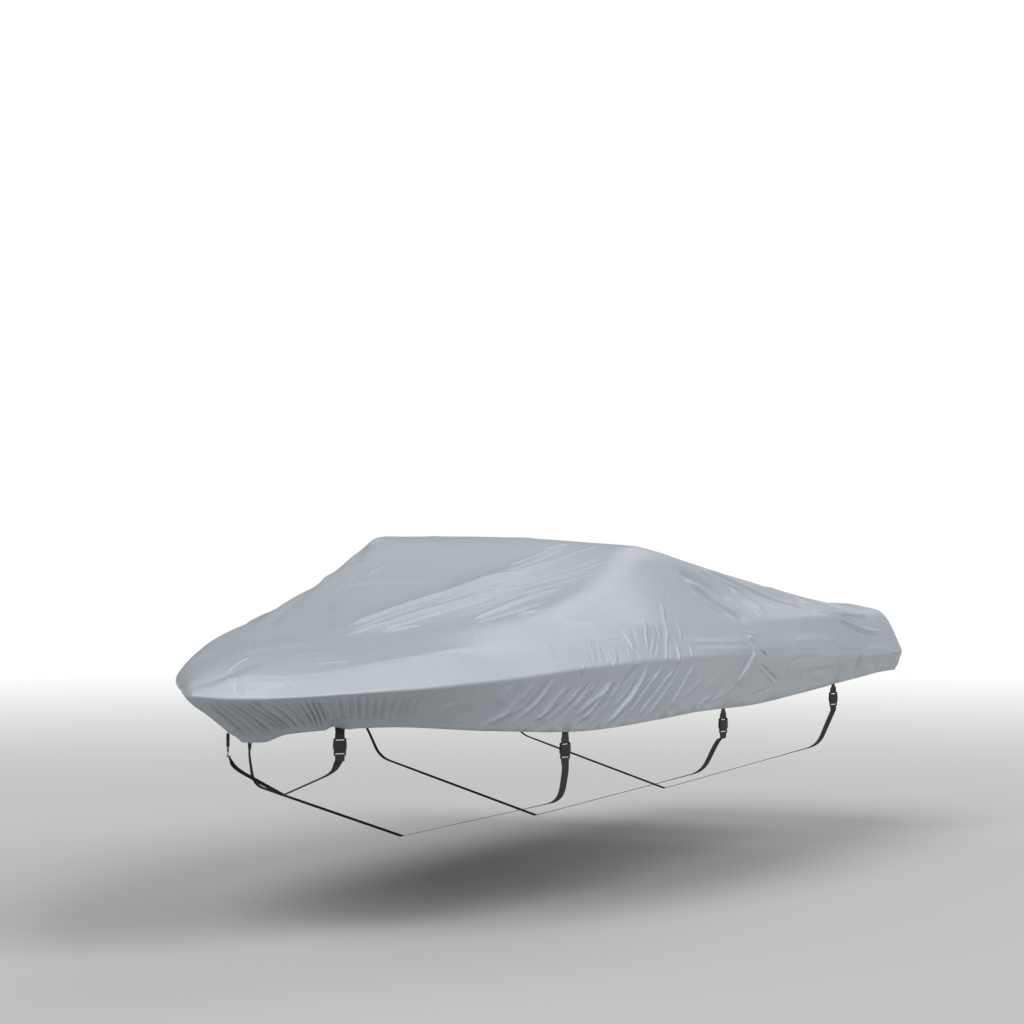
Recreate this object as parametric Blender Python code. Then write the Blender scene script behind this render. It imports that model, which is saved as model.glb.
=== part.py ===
"""Trailerable boat cover: one fitted cloth over a runabout, and four straps that buckle under it."""
import math

import bpy
import numpy as np
from mathutils import Matrix, Vector
from mathutils.bvhtree import BVHTree

for thing in list(bpy.data.objects):
    bpy.data.objects.remove(thing, do_unlink=True)


# ---- Where things are -----------------------------------------------------------------------
# Metres. The tables below measure X aft from the bow, Y to starboard and Z up from the ground.
# Finished pieces are moved so that zero is where the windscreen of the boat holds up the top.
REST_X = 2.37
REST_Z = 1.583
PORT = -1
STARBOARD = 1


# ---- Plan of the gunwale: where the cover bends from the deck down to the hull side ------------
HALF_BEAM = 0.985
BOW_LENGTH = 2.6
BOW_FULLNESS = 1.60
STERN_X = 5.12
STERN_HALF_WIDTH = 0.935
STERN_CORNER = 0.06
STERN_BULGE = 0.05
NOSE_REACH = 0.12
NOSE_RUN = 0.44
TUCK_RUN = 0.90
NORMAL_STEP = 0.02


def near_nose(round_, run):
    """1 at the nose, and 0 from the end of that run."""
    return np.clip(1 - np.asarray(round_) / run, 0, 1)


def gunwale_plan():
    """Points of the starboard gunwale, nose to middle of the stern, and their distance round.

    The distance is that round a blunt nose, which is then drawn out to a point.
    """
    bow = np.linspace(0, 1, 400) ** 2
    side = np.linspace(0, 1, 200)[1:]
    corner = np.linspace(0, math.pi / 2, 30)[1:]
    stern = np.linspace(1, 0, 80)[1:]
    side_end = STERN_X - STERN_CORNER
    inner_half = STERN_HALF_WIDTH - STERN_CORNER
    x = np.concatenate([
        BOW_LENGTH * bow,
        BOW_LENGTH + (side_end - BOW_LENGTH) * side,
        side_end + STERN_CORNER * np.sin(corner),
        STERN_X + STERN_BULGE * (1 - stern ** 2),
    ])
    y = np.concatenate([
        HALF_BEAM * (1 - (1 - bow) ** 2) ** (1 / BOW_FULLNESS),
        HALF_BEAM - (HALF_BEAM - STERN_HALF_WIDTH) * side ** 2,
        inner_half + STERN_CORNER * np.cos(corner),
        inner_half * stern,
    ])
    distance = np.concatenate([[0], np.cumsum(np.hypot(np.diff(x), np.diff(y)))])
    return x - NOSE_REACH * near_nose(distance, NOSE_RUN) ** 2, y, distance


PLAN_X, PLAN_Y, PLAN_DISTANCE = gunwale_plan()
HALF_ROUND = PLAN_DISTANCE[-1]


def on_gunwale(round_):
    """Plan position at a distance round the gunwale from the nose."""
    return np.interp(round_, PLAN_DISTANCE, PLAN_X), np.interp(round_, PLAN_DISTANCE, PLAN_Y)


def outward(round_):
    """Unit direction away from the boat at that distance, in plan."""
    before_x, before_y = on_gunwale(np.clip(round_ - NORMAL_STEP, 0, HALF_ROUND))
    after_x, after_y = on_gunwale(np.clip(round_ + NORMAL_STEP, 0, HALF_ROUND))
    length = np.hypot(after_x - before_x, after_y - before_y)
    out_x = (before_y - after_y) / length
    out_y = (after_x - before_x) / length
    on_middle = (round_ < NORMAL_STEP / 2) | (round_ > HALF_ROUND - NORMAL_STEP / 2)
    return np.where(on_middle, np.sign(out_x), out_x), np.where(on_middle, 0, out_y)


# ---- Sections of the cover ----------------------------------------------------------------------
# Each row is one section, from the middle line over the shoulder and the coaming edge to the
# gunwale, and down to the hem. "round" is the distance round the gunwale from the nose.
SECTION_COLUMNS = (
    "round", "spine_x", "crown", "shoulder_part", "shoulder_z", "shoulder_lean",
    "edge_in", "edge_z", "gunwale_z", "gunwale_lean", "tuck", "hem_z")
SECTIONS = (
    (0.00, 0.70, 1.165, 0.50, 1.120, 0.000, 0.04, 1.030, 1.003, 0.000, 0.340, 0.811),
    (0.12, 0.71, 1.167, 0.50, 1.125, 0.006, 0.05, 1.073, 0.994, 0.006, 0.360, 0.806),
    (0.30, 0.74, 1.172, 0.50, 1.138, 0.012, 0.07, 1.080, 1.004, 0.016, 0.296, 0.835),
    (0.75, 0.88, 1.190, 0.55, 1.161, 0.014, 0.08, 1.123, 1.012, 0.008, 0.170, 0.855),
    (1.28, 1.19, 1.245, 0.62, 1.222, 0.014, 0.09, 1.175, 1.039, 0.008, 0.115, 0.822),
    (1.80, 1.60, 1.345, 0.73, 1.300, 0.014, 0.09, 1.203, 1.064, 0.002, 0.080, 0.797),
    (2.30, 2.05, 1.480, 0.71, 1.446, 0.016, 0.08, 1.207, 1.074, 0.000, 0.060, 0.815),
    (2.53, 2.26, 1.568, 0.69, 1.547, 0.020, 0.08, 1.203, 1.076, 0.000, 0.055, 0.825),
    (2.65, 2.37, 1.588, 0.69, 1.566, 0.023, 0.08, 1.199, 1.075, 0.000, 0.050, 0.830),
    (2.80, 2.52, 1.572, 0.70, 1.551, 0.023, 0.08, 1.198, 1.075, 0.000, 0.050, 0.830),
    (3.20, 2.90, 1.520, 0.69, 1.494, 0.019, 0.08, 1.196, 1.072, 0.000, 0.050, 0.825),
    (3.90, 3.55, 1.425, 0.70, 1.396, 0.016, 0.08, 1.192, 1.045, 0.000, 0.050, 0.845),
    (4.70, 4.18, 1.335, 0.74, 1.288, 0.014, 0.09, 1.184, 1.010, 0.000, 0.045, 0.877),
    (5.20, 4.42, 1.300, 0.82, 1.241, 0.010, 0.08, 1.196, 0.990, 0.000, 0.040, 0.893),
    (5.80, 4.62, 1.280, 0.72, 1.233, 0.006, 0.14, 1.205, 0.990, 0.000, 0.040, 0.890),
    (HALF_ROUND, 4.78, 1.265, 0.50, 1.235, 0.000, 0.14, 1.205, 0.990, 0.000, 0.040, 0.890),
)
SPINE_BEND = 0.25
SHOULDER_BEND = 0.08
EDGE_BEND = 0.05
GUNWALE_BEND = 0.018
BEND_LIMIT = 0.45
BEND_STEPS = 8


def eased(at, places, values):
    """Smooth curve through the values that never overshoots them (monotone cubic)."""
    gap = np.diff(places)
    slope = np.diff(values) / gap
    tangent = np.concatenate([slope[:1], np.zeros(len(places) - 2), slope[-1:]])
    for i in range(1, len(places) - 1):
        if slope[i - 1] * slope[i] > 0:
            near = (2 * gap[i] + gap[i - 1]) / slope[i - 1]
            far = (gap[i] + 2 * gap[i - 1]) / slope[i]
            tangent[i] = 3 * (gap[i - 1] + gap[i]) / (near + far)
    i = np.clip(np.searchsorted(places, at) - 1, 0, len(places) - 2)
    t = (at - places[i]) / gap[i]
    start = values[i] * (1 + 2 * t) * (1 - t) ** 2 + tangent[i] * gap[i] * t * (1 - t) ** 2
    end = values[i + 1] * t * t * (3 - 2 * t) + tangent[i + 1] * gap[i] * t * t * (t - 1)
    return start + end


def section_values(round_):
    """Every column of the table at the given distances round the gunwale, by name."""
    rows = np.array(SECTIONS)
    return {name: eased(round_, rows[:, 0], rows[:, i]) for i, name in enumerate(SECTION_COLUMNS)}


def section_corners(round_, side):
    """Spine, shoulder, edge, gunwale and hem points of the sections, before their bends are rounded."""
    at = section_values(round_)
    plan_x, plan_y = on_gunwale(round_)
    out_x, out_y = outward(round_)
    reach = np.hypot(plan_x - at["spine_x"], plan_y)
    toward_x = (plan_x - at["spine_x"]) / reach
    toward_y = plan_y / reach
    nose = near_nose(round_, TUCK_RUN)
    under_x = out_x + (toward_x - out_x) * nose
    under_y = out_y + (toward_y - out_y) * nose

    def along(distance, z):
        return np.stack([at["spine_x"] + toward_x * distance, toward_y * distance, z], -1)

    corners = np.stack([
        along(0 * reach, at["crown"]),
        along(at["shoulder_part"] * reach, at["shoulder_z"] + side * at["shoulder_lean"]),
        along(reach - at["edge_in"], at["edge_z"] + side * at["gunwale_lean"]),
        np.stack([plan_x, plan_y, at["gunwale_z"] + side * at["gunwale_lean"]], -1),
        np.stack([plan_x - under_x * at["tuck"], plan_y - under_y * at["tuck"], at["hem_z"]], -1),
    ], 1)
    return corners * np.array([1, side, 1])


def bent(before, corner, after, size, first=0.0, last=1.0):
    """Points round one corner of every section, as a parabola that starts and ends at the given size."""
    back = before - corner
    ahead = after - corner
    back_length = np.linalg.norm(back, axis=1, keepdims=True)
    ahead_length = np.linalg.norm(ahead, axis=1, keepdims=True)
    start = corner + back * np.minimum(size / back_length, BEND_LIMIT)
    end = corner + ahead * np.minimum(size / ahead_length, BEND_LIMIT)
    t = np.linspace(first, last, BEND_STEPS + 1)[None, :, None]
    return start[:, None] * (1 - t) ** 2 + corner[:, None] * 2 * t * (1 - t) + end[:, None] * t * t


def spread_evenly(points, count):
    """The same lines with their points at equal steps along each."""
    lines = []
    for line in points:
        run = np.concatenate([[0], np.cumsum(np.linalg.norm(np.diff(line, axis=0), axis=1))])
        steps = np.linspace(0, run[-1], count)
        lines.append(np.stack([np.interp(steps, run, line[:, axis]) for axis in range(3)], -1))
    return np.array(lines)


def smooth_cloth(side, sections, deck_rows, skirt_rows):
    """Grid of points over one half of the cover, from the middle line to the hem, without folds."""
    round_ = np.linspace(0, HALF_ROUND, sections)
    spine, shoulder, edge, gunwale, hem = section_corners(round_, side).transpose(1, 0, 2)
    mirrored = shoulder * np.array([1, -1, 1])
    mirrored[:, 2] -= 2 * side * section_values(round_)["shoulder_lean"]
    at_gunwale = bent(edge, gunwale, hem, GUNWALE_BEND)
    half = BEND_STEPS // 2
    deck = np.concatenate([
        bent(mirrored, spine, shoulder, SPINE_BEND, first=0.5),
        bent(spine, shoulder, edge, SHOULDER_BEND),
        bent(shoulder, edge, gunwale, EDGE_BEND),
        at_gunwale[:, :half + 1],
    ], 1)
    skirt = np.concatenate([at_gunwale[:, half:], hem[:, None]], 1)
    below = spread_evenly(skirt, skirt_rows + 1)[:, 1:]
    grid = np.concatenate([spread_evenly(deck, deck_rows + 1), below], 1)
    grid[:, 0, 1] = 0
    grid[[0, -1], :, 1] = 0
    return grid


# ---- Main folds -----------------------------------------------------------------------------------
# A fold is a soft ridge, or a trough where its height is negative, between two places. Deck folds are
# laid out as seen from above (X and Y), side folds as seen from the side (X and Z).
FOLD_COLUMNS = ("from_a", "from_b", "to_a", "to_b", "width", "height")
DECK_FOLDS = (
    (1.10, 0.14, 2.20, -0.28, 0.050, 0.012),
    (0.88, 0.02, 1.95, -0.43, 0.045, 0.011),
    (1.02, -0.18, 2.17, -0.62, 0.060, -0.010),
    (1.28, -0.42, 2.12, -0.68, 0.045, 0.010),
    (1.85, -0.10, 2.30, -0.42, 0.040, 0.009),
    (1.05, 0.62, 1.90, 0.05, 0.070, -0.008),
    (0.10, -0.05, 0.34, -0.14, 0.035, 0.012),
    (0.20, 0.03, 0.60, -0.06, 0.045, -0.010),
    (0.30, -0.27, 1.05, -0.62, 0.050, -0.010),
    (1.20, 0.45, 2.15, 0.62, 0.060, 0.010),
    (2.55, 0.10, 3.90, 0.42, 0.110, -0.014),
    (2.60, -0.20, 4.20, -0.38, 0.120, -0.014),
    (3.20, 0.05, 4.60, 0.00, 0.110, 0.012),
)
PORT_FOLDS = (
    (2.56, 1.42, 2.97, 1.19, 0.040, 0.014),
    (2.62, 1.36, 3.12, 1.14, 0.045, -0.014),
    (2.56, 1.46, 3.28, 1.25, 0.035, 0.013),
    (2.70, 1.50, 4.25, 1.20, 0.050, 0.016),
    (2.90, 1.38, 4.10, 1.15, 0.055, -0.014),
    (4.10, 1.21, 5.05, 1.08, 0.050, 0.018),
    (4.25, 1.12, 5.00, 1.02, 0.060, -0.012),
    (2.90, 1.11, 2.74, 0.92, 0.032, 0.020),
    (2.89, 1.12, 3.28, 0.90, 0.036, 0.020),
    (2.96, 1.03, 3.05, 0.88, 0.060, -0.014),
    (2.33, 0.84, 2.66, 0.90, 0.030, 0.014),
    (3.45, 1.09, 4.75, 1.04, 0.050, 0.012),
    (3.50, 0.98, 4.60, 0.94, 0.060, -0.012),
)
STARBOARD_FOLDS = (
    (2.60, 1.42, 3.10, 1.18, 0.045, 0.013),
    (2.70, 1.34, 3.35, 1.13, 0.050, -0.013),
    (2.75, 1.49, 4.40, 1.20, 0.055, 0.015),
    (3.10, 1.36, 4.30, 1.14, 0.060, -0.013),
    (4.20, 1.20, 5.02, 1.07, 0.050, 0.016),
    (3.20, 1.10, 3.02, 0.92, 0.040, 0.016),
    (3.22, 1.10, 3.60, 0.90, 0.042, 0.016),
    (3.80, 1.07, 4.85, 1.03, 0.055, 0.012),
)
# Rows of like folds: gathers under the coaming, slanting drapes of the skirt, and pleats at the bow.
ROW_COLUMNS = (
    "count", "first_top_x", "last_top_x", "top_z", "first_foot_x", "last_foot_x", "foot_z", "width", "height")
PORT_FOLD_ROWS = (
    (8, 1.45, 2.32, 1.16, 1.40, 2.20, 1.07, 0.026, 0.007),
    (7, 1.45, 2.44, 1.02, 1.14, 2.22, 0.85, 0.046, 0.015),
    (6, 0.05, 0.30, 0.96, 0.26, 0.42, 0.86, 0.024, 0.008),
    (2, 0.62, 0.82, 0.97, 0.56, 0.72, 0.88, 0.035, 0.010),
)
STARBOARD_FOLD_ROWS = (
    (6, 1.55, 2.40, 1.16, 1.50, 2.30, 1.07, 0.028, 0.007),
    (6, 1.35, 2.55, 1.02, 1.10, 2.25, 0.85, 0.050, 0.014),
    (6, 0.05, 0.32, 0.96, 0.27, 0.45, 0.86, 0.024, 0.008),
    (2, 0.66, 0.92, 0.97, 0.60, 0.80, 0.88, 0.035, 0.010),
)
FOLD_ENDS = 0.22
FOLD_UNDERCUT = 0.8
DECK_FADE = (0.86, 0.97)
SIDE_FADE = (0.45, 0.60)


def fold_rows(groups):
    """Single folds of the rows of like folds, evenly spaced."""
    folds = []
    for row in groups:
        of = dict(zip(ROW_COLUMNS, row))
        for step in np.linspace(0, 1, of["count"]):
            top_x = of["first_top_x"] + (of["last_top_x"] - of["first_top_x"]) * step
            foot_x = of["first_foot_x"] + (of["last_foot_x"] - of["first_foot_x"]) * step
            folds.append((top_x, of["top_z"], foot_x, of["foot_z"], of["width"], of["height"]))
    return folds


def faded(value, start, end):
    """0 before start, 1 after end, and a soft step between."""
    t = np.clip((value - start) / (end - start), 0, 1)
    return t * t * (3 - 2 * t)


def folds_height(a, b, folds):
    """How far the folds lift the cloth at places given in the folds' own plane."""
    lift = np.zeros(len(a))
    for row in folds:
        of = dict(zip(FOLD_COLUMNS, row))
        run_a = of["to_a"] - of["from_a"]
        run_b = of["to_b"] - of["from_b"]
        length = math.hypot(run_a, run_b)
        along = ((a - of["from_a"]) * run_a + (b - of["from_b"]) * run_b) / length ** 2
        across = ((a - of["from_a"]) * run_b - (b - of["from_b"]) * run_a) / length
        spread = (across / of["width"]) ** 2
        ends = faded(along, -FOLD_ENDS, FOLD_ENDS) * faded(1 - along, -FOLD_ENDS, FOLD_ENDS)
        lift += of["height"] * (1 - FOLD_UNDERCUT * spread) * np.exp(-spread) * ends
    return lift


# ---- The cloth ------------------------------------------------------------------------------------
# One piece of coated polyester from hem to hem, with the hem turned up in the same cloth.
CLOTH_THICKNESS = 0.003
SECTION_COUNT = 200
DECK_ROWS = 46
SKIRT_ROWS = 14
CLOTH_TRIANGLES = 5400


def cover_sheet():
    """Points and faces of the whole sheet: two halves that share the middle line, nose and stern."""
    rows = DECK_ROWS + SKIRT_ROWS + 1
    port = smooth_cloth(PORT, SECTION_COUNT, DECK_ROWS, SKIRT_ROWS)
    starboard = smooth_cloth(STARBOARD, SECTION_COUNT, DECK_ROWS, SKIRT_ROWS)
    port[[0, -1]] = (port[[0, -1]] + starboard[[0, -1]]) / 2
    port[:, 0] = (port[:, 0] + starboard[:, 0]) / 2
    port_index = np.arange(SECTION_COUNT * rows).reshape(SECTION_COUNT, rows)
    own = np.ones((SECTION_COUNT, rows), bool)
    own[[0, -1]] = False
    own[:, 0] = False
    starboard_index = port_index.copy()
    starboard_index[own] = len(port_index.ravel()) + np.arange(own.sum())
    points = np.concatenate([port.reshape(-1, 3), starboard[own]])
    down = np.concatenate([np.linspace(0, 1, DECK_ROWS + 1), 1 + np.arange(1, SKIRT_ROWS + 1) / SKIRT_ROWS])
    down_of = np.broadcast_to(down, port_index.shape)
    faces = []
    for index, turned in ((port_index, False), (starboard_index, True)):
        ring = np.stack([index[:-1, :-1], index[:-1, 1:], index[1:, 1:], index[1:, :-1]], -1).reshape(-1, 4)
        faces.append(ring[:, ::-1] if turned else ring)
    return points, np.concatenate(faces), np.concatenate([down_of.ravel(), down_of[own]])


def point_normals(points, faces):
    """Unit normal at each point, from the faces round it."""
    corner = points[faces]
    face_normal = np.cross(corner[:, 2] - corner[:, 0], corner[:, 3] - corner[:, 1])
    total = np.zeros_like(points)
    for i in range(4):
        np.add.at(total, faces[:, i], face_normal)
    return total / np.linalg.norm(total, axis=1, keepdims=True)


def folded_cloth():
    """The sheet with its main folds pressed in."""
    points, faces, down = cover_sheet()
    normals = point_normals(points, faces)
    x, y, z = points.T
    lift = folds_height(x, y, DECK_FOLDS) * (1 - faded(down, *DECK_FADE))
    on_side = faded(down, *SIDE_FADE)
    for side, singles, groups in (
        (PORT, PORT_FOLDS, PORT_FOLD_ROWS),
        (STARBOARD, STARBOARD_FOLDS, STARBOARD_FOLD_ROWS),
    ):
        here = on_side * (y * side > 0)
        lift += folds_height(x, z, list(singles) + fold_rows(groups)) * here
    return points + normals * lift[:, None], faces


def in_place(points):
    """Points moved so that zero is where the boat holds up the top."""
    return np.asarray(points) - (REST_X, 0, REST_Z)


def finish(name, base_color, roughness):
    """Plain material with the piece's own colour."""
    material = bpy.data.materials.new(name)
    material.use_nodes = True
    surface = material.node_tree.nodes["Principled BSDF"]
    surface.inputs["Base Color"].default_value = (*base_color, 1)
    surface.inputs["Roughness"].default_value = roughness
    surface.inputs["Metallic"].default_value = 0
    return material


def piece(name, mesh, material):
    """Object of a mesh with one material, linked to the scene."""
    mesh.materials.clear()
    mesh.materials.append(material)
    thing = bpy.data.objects.new(name, mesh)
    bpy.context.scene.collection.objects.link(thing)
    return thing


def mesh_of(name, points, faces):
    """Mesh from points and faces."""
    mesh = bpy.data.meshes.new(name)
    mesh.from_pydata([tuple(p) for p in points], [], [tuple(int(i) for i in f) for f in faces])
    mesh.update()
    return mesh


cloth_points, cloth_faces = folded_cloth()
cloth_grey = finish("grey_coated_polyester", (0.34, 0.38, 0.41), 0.55)
cloth = piece("cover_cloth", mesh_of("cover_cloth", in_place(cloth_points), cloth_faces), cloth_grey)
cloth.data.shade_smooth()
thinned = cloth.modifiers.new("thinned", "DECIMATE")
thinned.ratio = CLOTH_TRIANGLES / (2 * len(cloth_faces))
thickness = cloth.modifiers.new("thickness", "SOLIDIFY")
thickness.thickness = CLOTH_THICKNESS
thickness.offset = -1


# ---- Webbing and buckles --------------------------------------------------------------------------
# Four straps of 38 mm webbing pass under the hull. On each side a tab sewn inside the hem holds the
# socket of a side-release buckle, and the strap under the hull ends in a plug on both sides.
# A buckle's own axes: X across the webbing, Y down the strap from the socket's bar, Z outward.
WEBBING_WIDTH = 0.038
WEBBING_THICKNESS = 0.0016
SEWN_LENGTH = 0.050
TAB_DROP = 0.040
BELOW_HEM = 0.006
BAR_HALF = 0.00155
LOOP_RADIUS = 0.0034
LOOP_STEPS = 8
LOOP_RETURN = 0.022
LOOP_LIFT = 0.0013
LOOP_NECK_AWAY = 0.008
LOOP_NECK_LIFT = 0.0025
SLOT_HALF_WIDTH = 0.0205
BUCKLE_HALF_WIDTH = 0.025
BUCKLE_BELLY = 0.0265
SOCKET_HALF_DEPTH = 0.0065
SOCKET_LENGTH = 0.046
SLOT_LENGTH = 0.006
CAVITY_HALF_WIDTH = 0.019
CAVITY_HALF_DEPTH = 0.004
CAVITY_START = 0.014
WINDOW_START = 0.020
WINDOW_END = 0.034
PLUG_HALF_DEPTH = 0.0034
PLUG_GAP = 0.0003
PLUG_SLOT_START = 0.056
PLUG_BAR_AT = PLUG_SLOT_START + SLOT_LENGTH + BAR_HALF
CORNER_CUT = 0.002
CUT_BEYOND = 0.004
CUT_OVERLAP = 0.0005
WINDOW_CLEAR = 0.0002
SEAT_GAP = 0.0005
SEAT_START = 0.03
SEAT_ROUNDS = 12
SEAT_SAMPLES = 12

# Stations from the bow: distance round the gunwale, how far the buckle is turned to face forward, and
# the hull that the strap follows at that station: side, chine and keel.
STRAP_COLUMNS = ("round", "turn", "side_y", "side_z", "chine_y", "chine_z", "keel_z")
STRAPS = (
    (0.57, 0, 0.248, 0.730, 0.225, 0.685, 0.590),
    (1.69, 8, 0.757, 0.640, 0.735, 0.520, 0.340),
    (2.95, 16, 0.905, 0.690, 0.830, 0.545, 0.310),
    (4.40, 24, 0.893, 0.700, 0.830, 0.560, 0.310),
)
SIDE_NAMES = {PORT: "port", STARBOARD: "starboard"}
CORNER_REACH = 0.055
CORNER_STEPS = 7
RUN_STEP = 0.05
TAB_STEP = 0.02
TWIST_END = 0.5


def loop_round_bar():
    """Route of a webbing end round a bar, in the buckle's Y and Z: back leg, turn, then front leg."""
    turn = np.linspace(-math.pi / 2, math.pi / 2, LOOP_STEPS + 1)
    legs = ((LOOP_RETURN, LOOP_LIFT), (LOOP_NECK_AWAY, LOOP_NECK_LIFT))
    back = [(away, -lift) for away, lift in legs]
    front = [(away, lift) for away, lift in reversed(legs)]
    bend = [(-LOOP_RADIUS * math.cos(t), LOOP_RADIUS * math.sin(t)) for t in turn]
    return back + bend + front


def webbing(name, route, across, material):
    """Strip of webbing along a route, its width along the across direction of each point."""
    route = np.array(route)
    ahead = np.gradient(route, axis=0)
    ahead /= np.linalg.norm(ahead, axis=1, keepdims=True)
    across = np.array(across) - ahead * np.sum(np.array(across) * ahead, axis=1, keepdims=True)
    across /= np.linalg.norm(across, axis=1, keepdims=True)
    face = np.cross(across, ahead) * WEBBING_THICKNESS / 2
    edge = across * WEBBING_WIDTH / 2
    rings = np.stack([route - edge - face, route + edge - face, route + edge + face, route - edge + face], 1)
    faces = [(0, 1, 2, 3)]
    for i in range(len(route) - 1):
        for k in range(4):
            near = 4 * i + k
            beside = 4 * i + (k + 1) % 4
            faces.append((near, near + 4, beside + 4, beside))
    last = 4 * (len(route) - 1)
    faces.append((last + 3, last + 2, last + 1, last))
    return piece(name, mesh_of(name, in_place(rings.reshape(-1, 3)), faces), material)


def cut_plate(name, outline, half_depth, cuts):
    """Plate of an outline in X and Y with boxes cut away, given by their lowest and highest corners."""
    count = len(outline)
    points = [(x, y, -half_depth) for x, y in outline] + [(x, y, half_depth) for x, y in outline]
    faces = [tuple(reversed(range(count))), tuple(range(count, 2 * count))]
    faces += [(i, (i + 1) % count, count + (i + 1) % count, count + i) for i in range(count)]
    plate = bpy.data.objects.new(name, mesh_of(name, points, faces))
    bpy.context.scene.collection.objects.link(plate)
    cutters = []
    for low, high in cuts:
        corners = [(x, y, z) for z in (low[2], high[2]) for x, y in (
            (low[0], low[1]), (high[0], low[1]), (high[0], high[1]), (low[0], high[1]))]
        box_faces = [(3, 2, 1, 0), (4, 5, 6, 7), (0, 1, 5, 4), (1, 2, 6, 5), (2, 3, 7, 6), (3, 0, 4, 7)]
        cutter = bpy.data.objects.new("cutter", mesh_of("cutter", corners, box_faces))
        bpy.context.scene.collection.objects.link(cutter)
        cutters.append(cutter)
        cut = plate.modifiers.new("cut", "BOOLEAN")
        cut.operation = "DIFFERENCE"
        cut.object = cutter
    bpy.context.view_layer.update()
    shape = bpy.data.meshes.new_from_object(plate.evaluated_get(bpy.context.evaluated_depsgraph_get()))
    for thing in [plate] + cutters:
        bpy.data.objects.remove(thing, do_unlink=True)
    return shape


def mirrored_outline(half):
    """Closed outline from its +X half, listed from low Y to high Y."""
    return list(half) + [(-x, y) for x, y in reversed(half)]


def bar_thinning(start, end, half_depth):
    """The two cuts that leave a thin bar between the rails, on its outer and its inner face."""
    reach = half_depth + CUT_BEYOND
    return [
        ((-SLOT_HALF_WIDTH, start, BAR_HALF), (SLOT_HALF_WIDTH, end, reach)),
        ((-SLOT_HALF_WIDTH, start, -reach), (SLOT_HALF_WIDTH, end, -BAR_HALF)),
    ]


def socket_shape():
    """Female half: a bar and slot for the tab, and a body open below and at both sides for the plug."""
    outline = mirrored_outline((
        (BUCKLE_HALF_WIDTH - CORNER_CUT, -BAR_HALF),
        (BUCKLE_HALF_WIDTH, 0.003),
        (BUCKLE_HALF_WIDTH, 0.012),
        (BUCKLE_BELLY, 0.018),
        (BUCKLE_BELLY, 0.040),
        (BUCKLE_HALF_WIDTH - CORNER_CUT, SOCKET_LENGTH),
    ))
    reach = SOCKET_HALF_DEPTH + CUT_BEYOND
    slot_end = BAR_HALF + SLOT_LENGTH
    cavity_end = SOCKET_LENGTH + CUT_BEYOND
    window_side = BUCKLE_BELLY + CUT_BEYOND
    window_half_depth = CAVITY_HALF_DEPTH - WINDOW_CLEAR
    cuts = bar_thinning(-CUT_BEYOND, slot_end - CUT_OVERLAP, SOCKET_HALF_DEPTH) + [
        ((-SLOT_HALF_WIDTH, BAR_HALF, -reach), (SLOT_HALF_WIDTH, slot_end, reach)),
        ((-CAVITY_HALF_WIDTH, CAVITY_START, -CAVITY_HALF_DEPTH),
         (CAVITY_HALF_WIDTH, cavity_end, CAVITY_HALF_DEPTH)),
        ((-window_side, WINDOW_START, -window_half_depth), (window_side, WINDOW_END, window_half_depth)),
    ]
    return cut_plate("socket", outline, SOCKET_HALF_DEPTH, cuts)


def plug_shape():
    """Male half: a guide, two spring arms whose heads fill the windows, and a bar for the strap."""
    shoulder = SOCKET_LENGTH + PLUG_GAP
    end = PLUG_BAR_AT + BAR_HALF
    outline = mirrored_outline((
        (0.003, 0.024),
        (0.003, 0.043),
        (0.010, 0.043),
        (0.012, 0.024),
        (0.015, 0.0206),
        (0.020, 0.0206),
        (0.0250, 0.027),
        (0.0250, 0.0334),
        (0.0184, 0.0334),
        (0.0170, shoulder),
        (BUCKLE_HALF_WIDTH, shoulder),
        (BUCKLE_HALF_WIDTH, end - 2 * CORNER_CUT),
        (BUCKLE_HALF_WIDTH - CORNER_CUT, end),
    ))
    reach = PLUG_HALF_DEPTH + CUT_BEYOND
    cuts = bar_thinning(PLUG_SLOT_START + CUT_OVERLAP, end + CUT_BEYOND, PLUG_HALF_DEPTH) + [
        ((-SLOT_HALF_WIDTH, PLUG_SLOT_START, -reach), (SLOT_HALF_WIDTH, PLUG_BAR_AT - BAR_HALF, reach)),
    ]
    return cut_plate("plug", outline, PLUG_HALF_DEPTH, cuts)


def unit(vector):
    """The same direction at length 1."""
    return np.asarray(vector, float) / np.linalg.norm(vector)


def hanging_axes(down, toward):
    """Across, down and facing directions of a strap that hangs along down and faces toward."""
    facing = unit(toward - down * np.dot(toward, down))
    return np.cross(down, facing), down, facing


def seated(hem, axes, cloth_tree):
    """Middle of the webbing at the hem, where its outer face just clears the inner face of the cloth."""
    across, down, facing = axes
    up_steps = np.linspace(0, SEWN_LENGTH, SEAT_SAMPLES)
    over_steps = np.linspace(-0.5, 0.5, SEAT_SAMPLES)
    grid = [(up, over) for up in up_steps for over in over_steps]
    face = [in_place(hem - down * up + across * over * WEBBING_WIDTH) for up, over in grid]
    inside = SEAT_START
    for _ in range(SEAT_ROUNDS):
        clear = min(cloth_tree.find_nearest(Vector(point - facing * inside))[3] for point in face)
        inside -= clear - SEAT_GAP
    return hem - facing * (inside + WEBBING_THICKNESS / 2)


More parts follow.
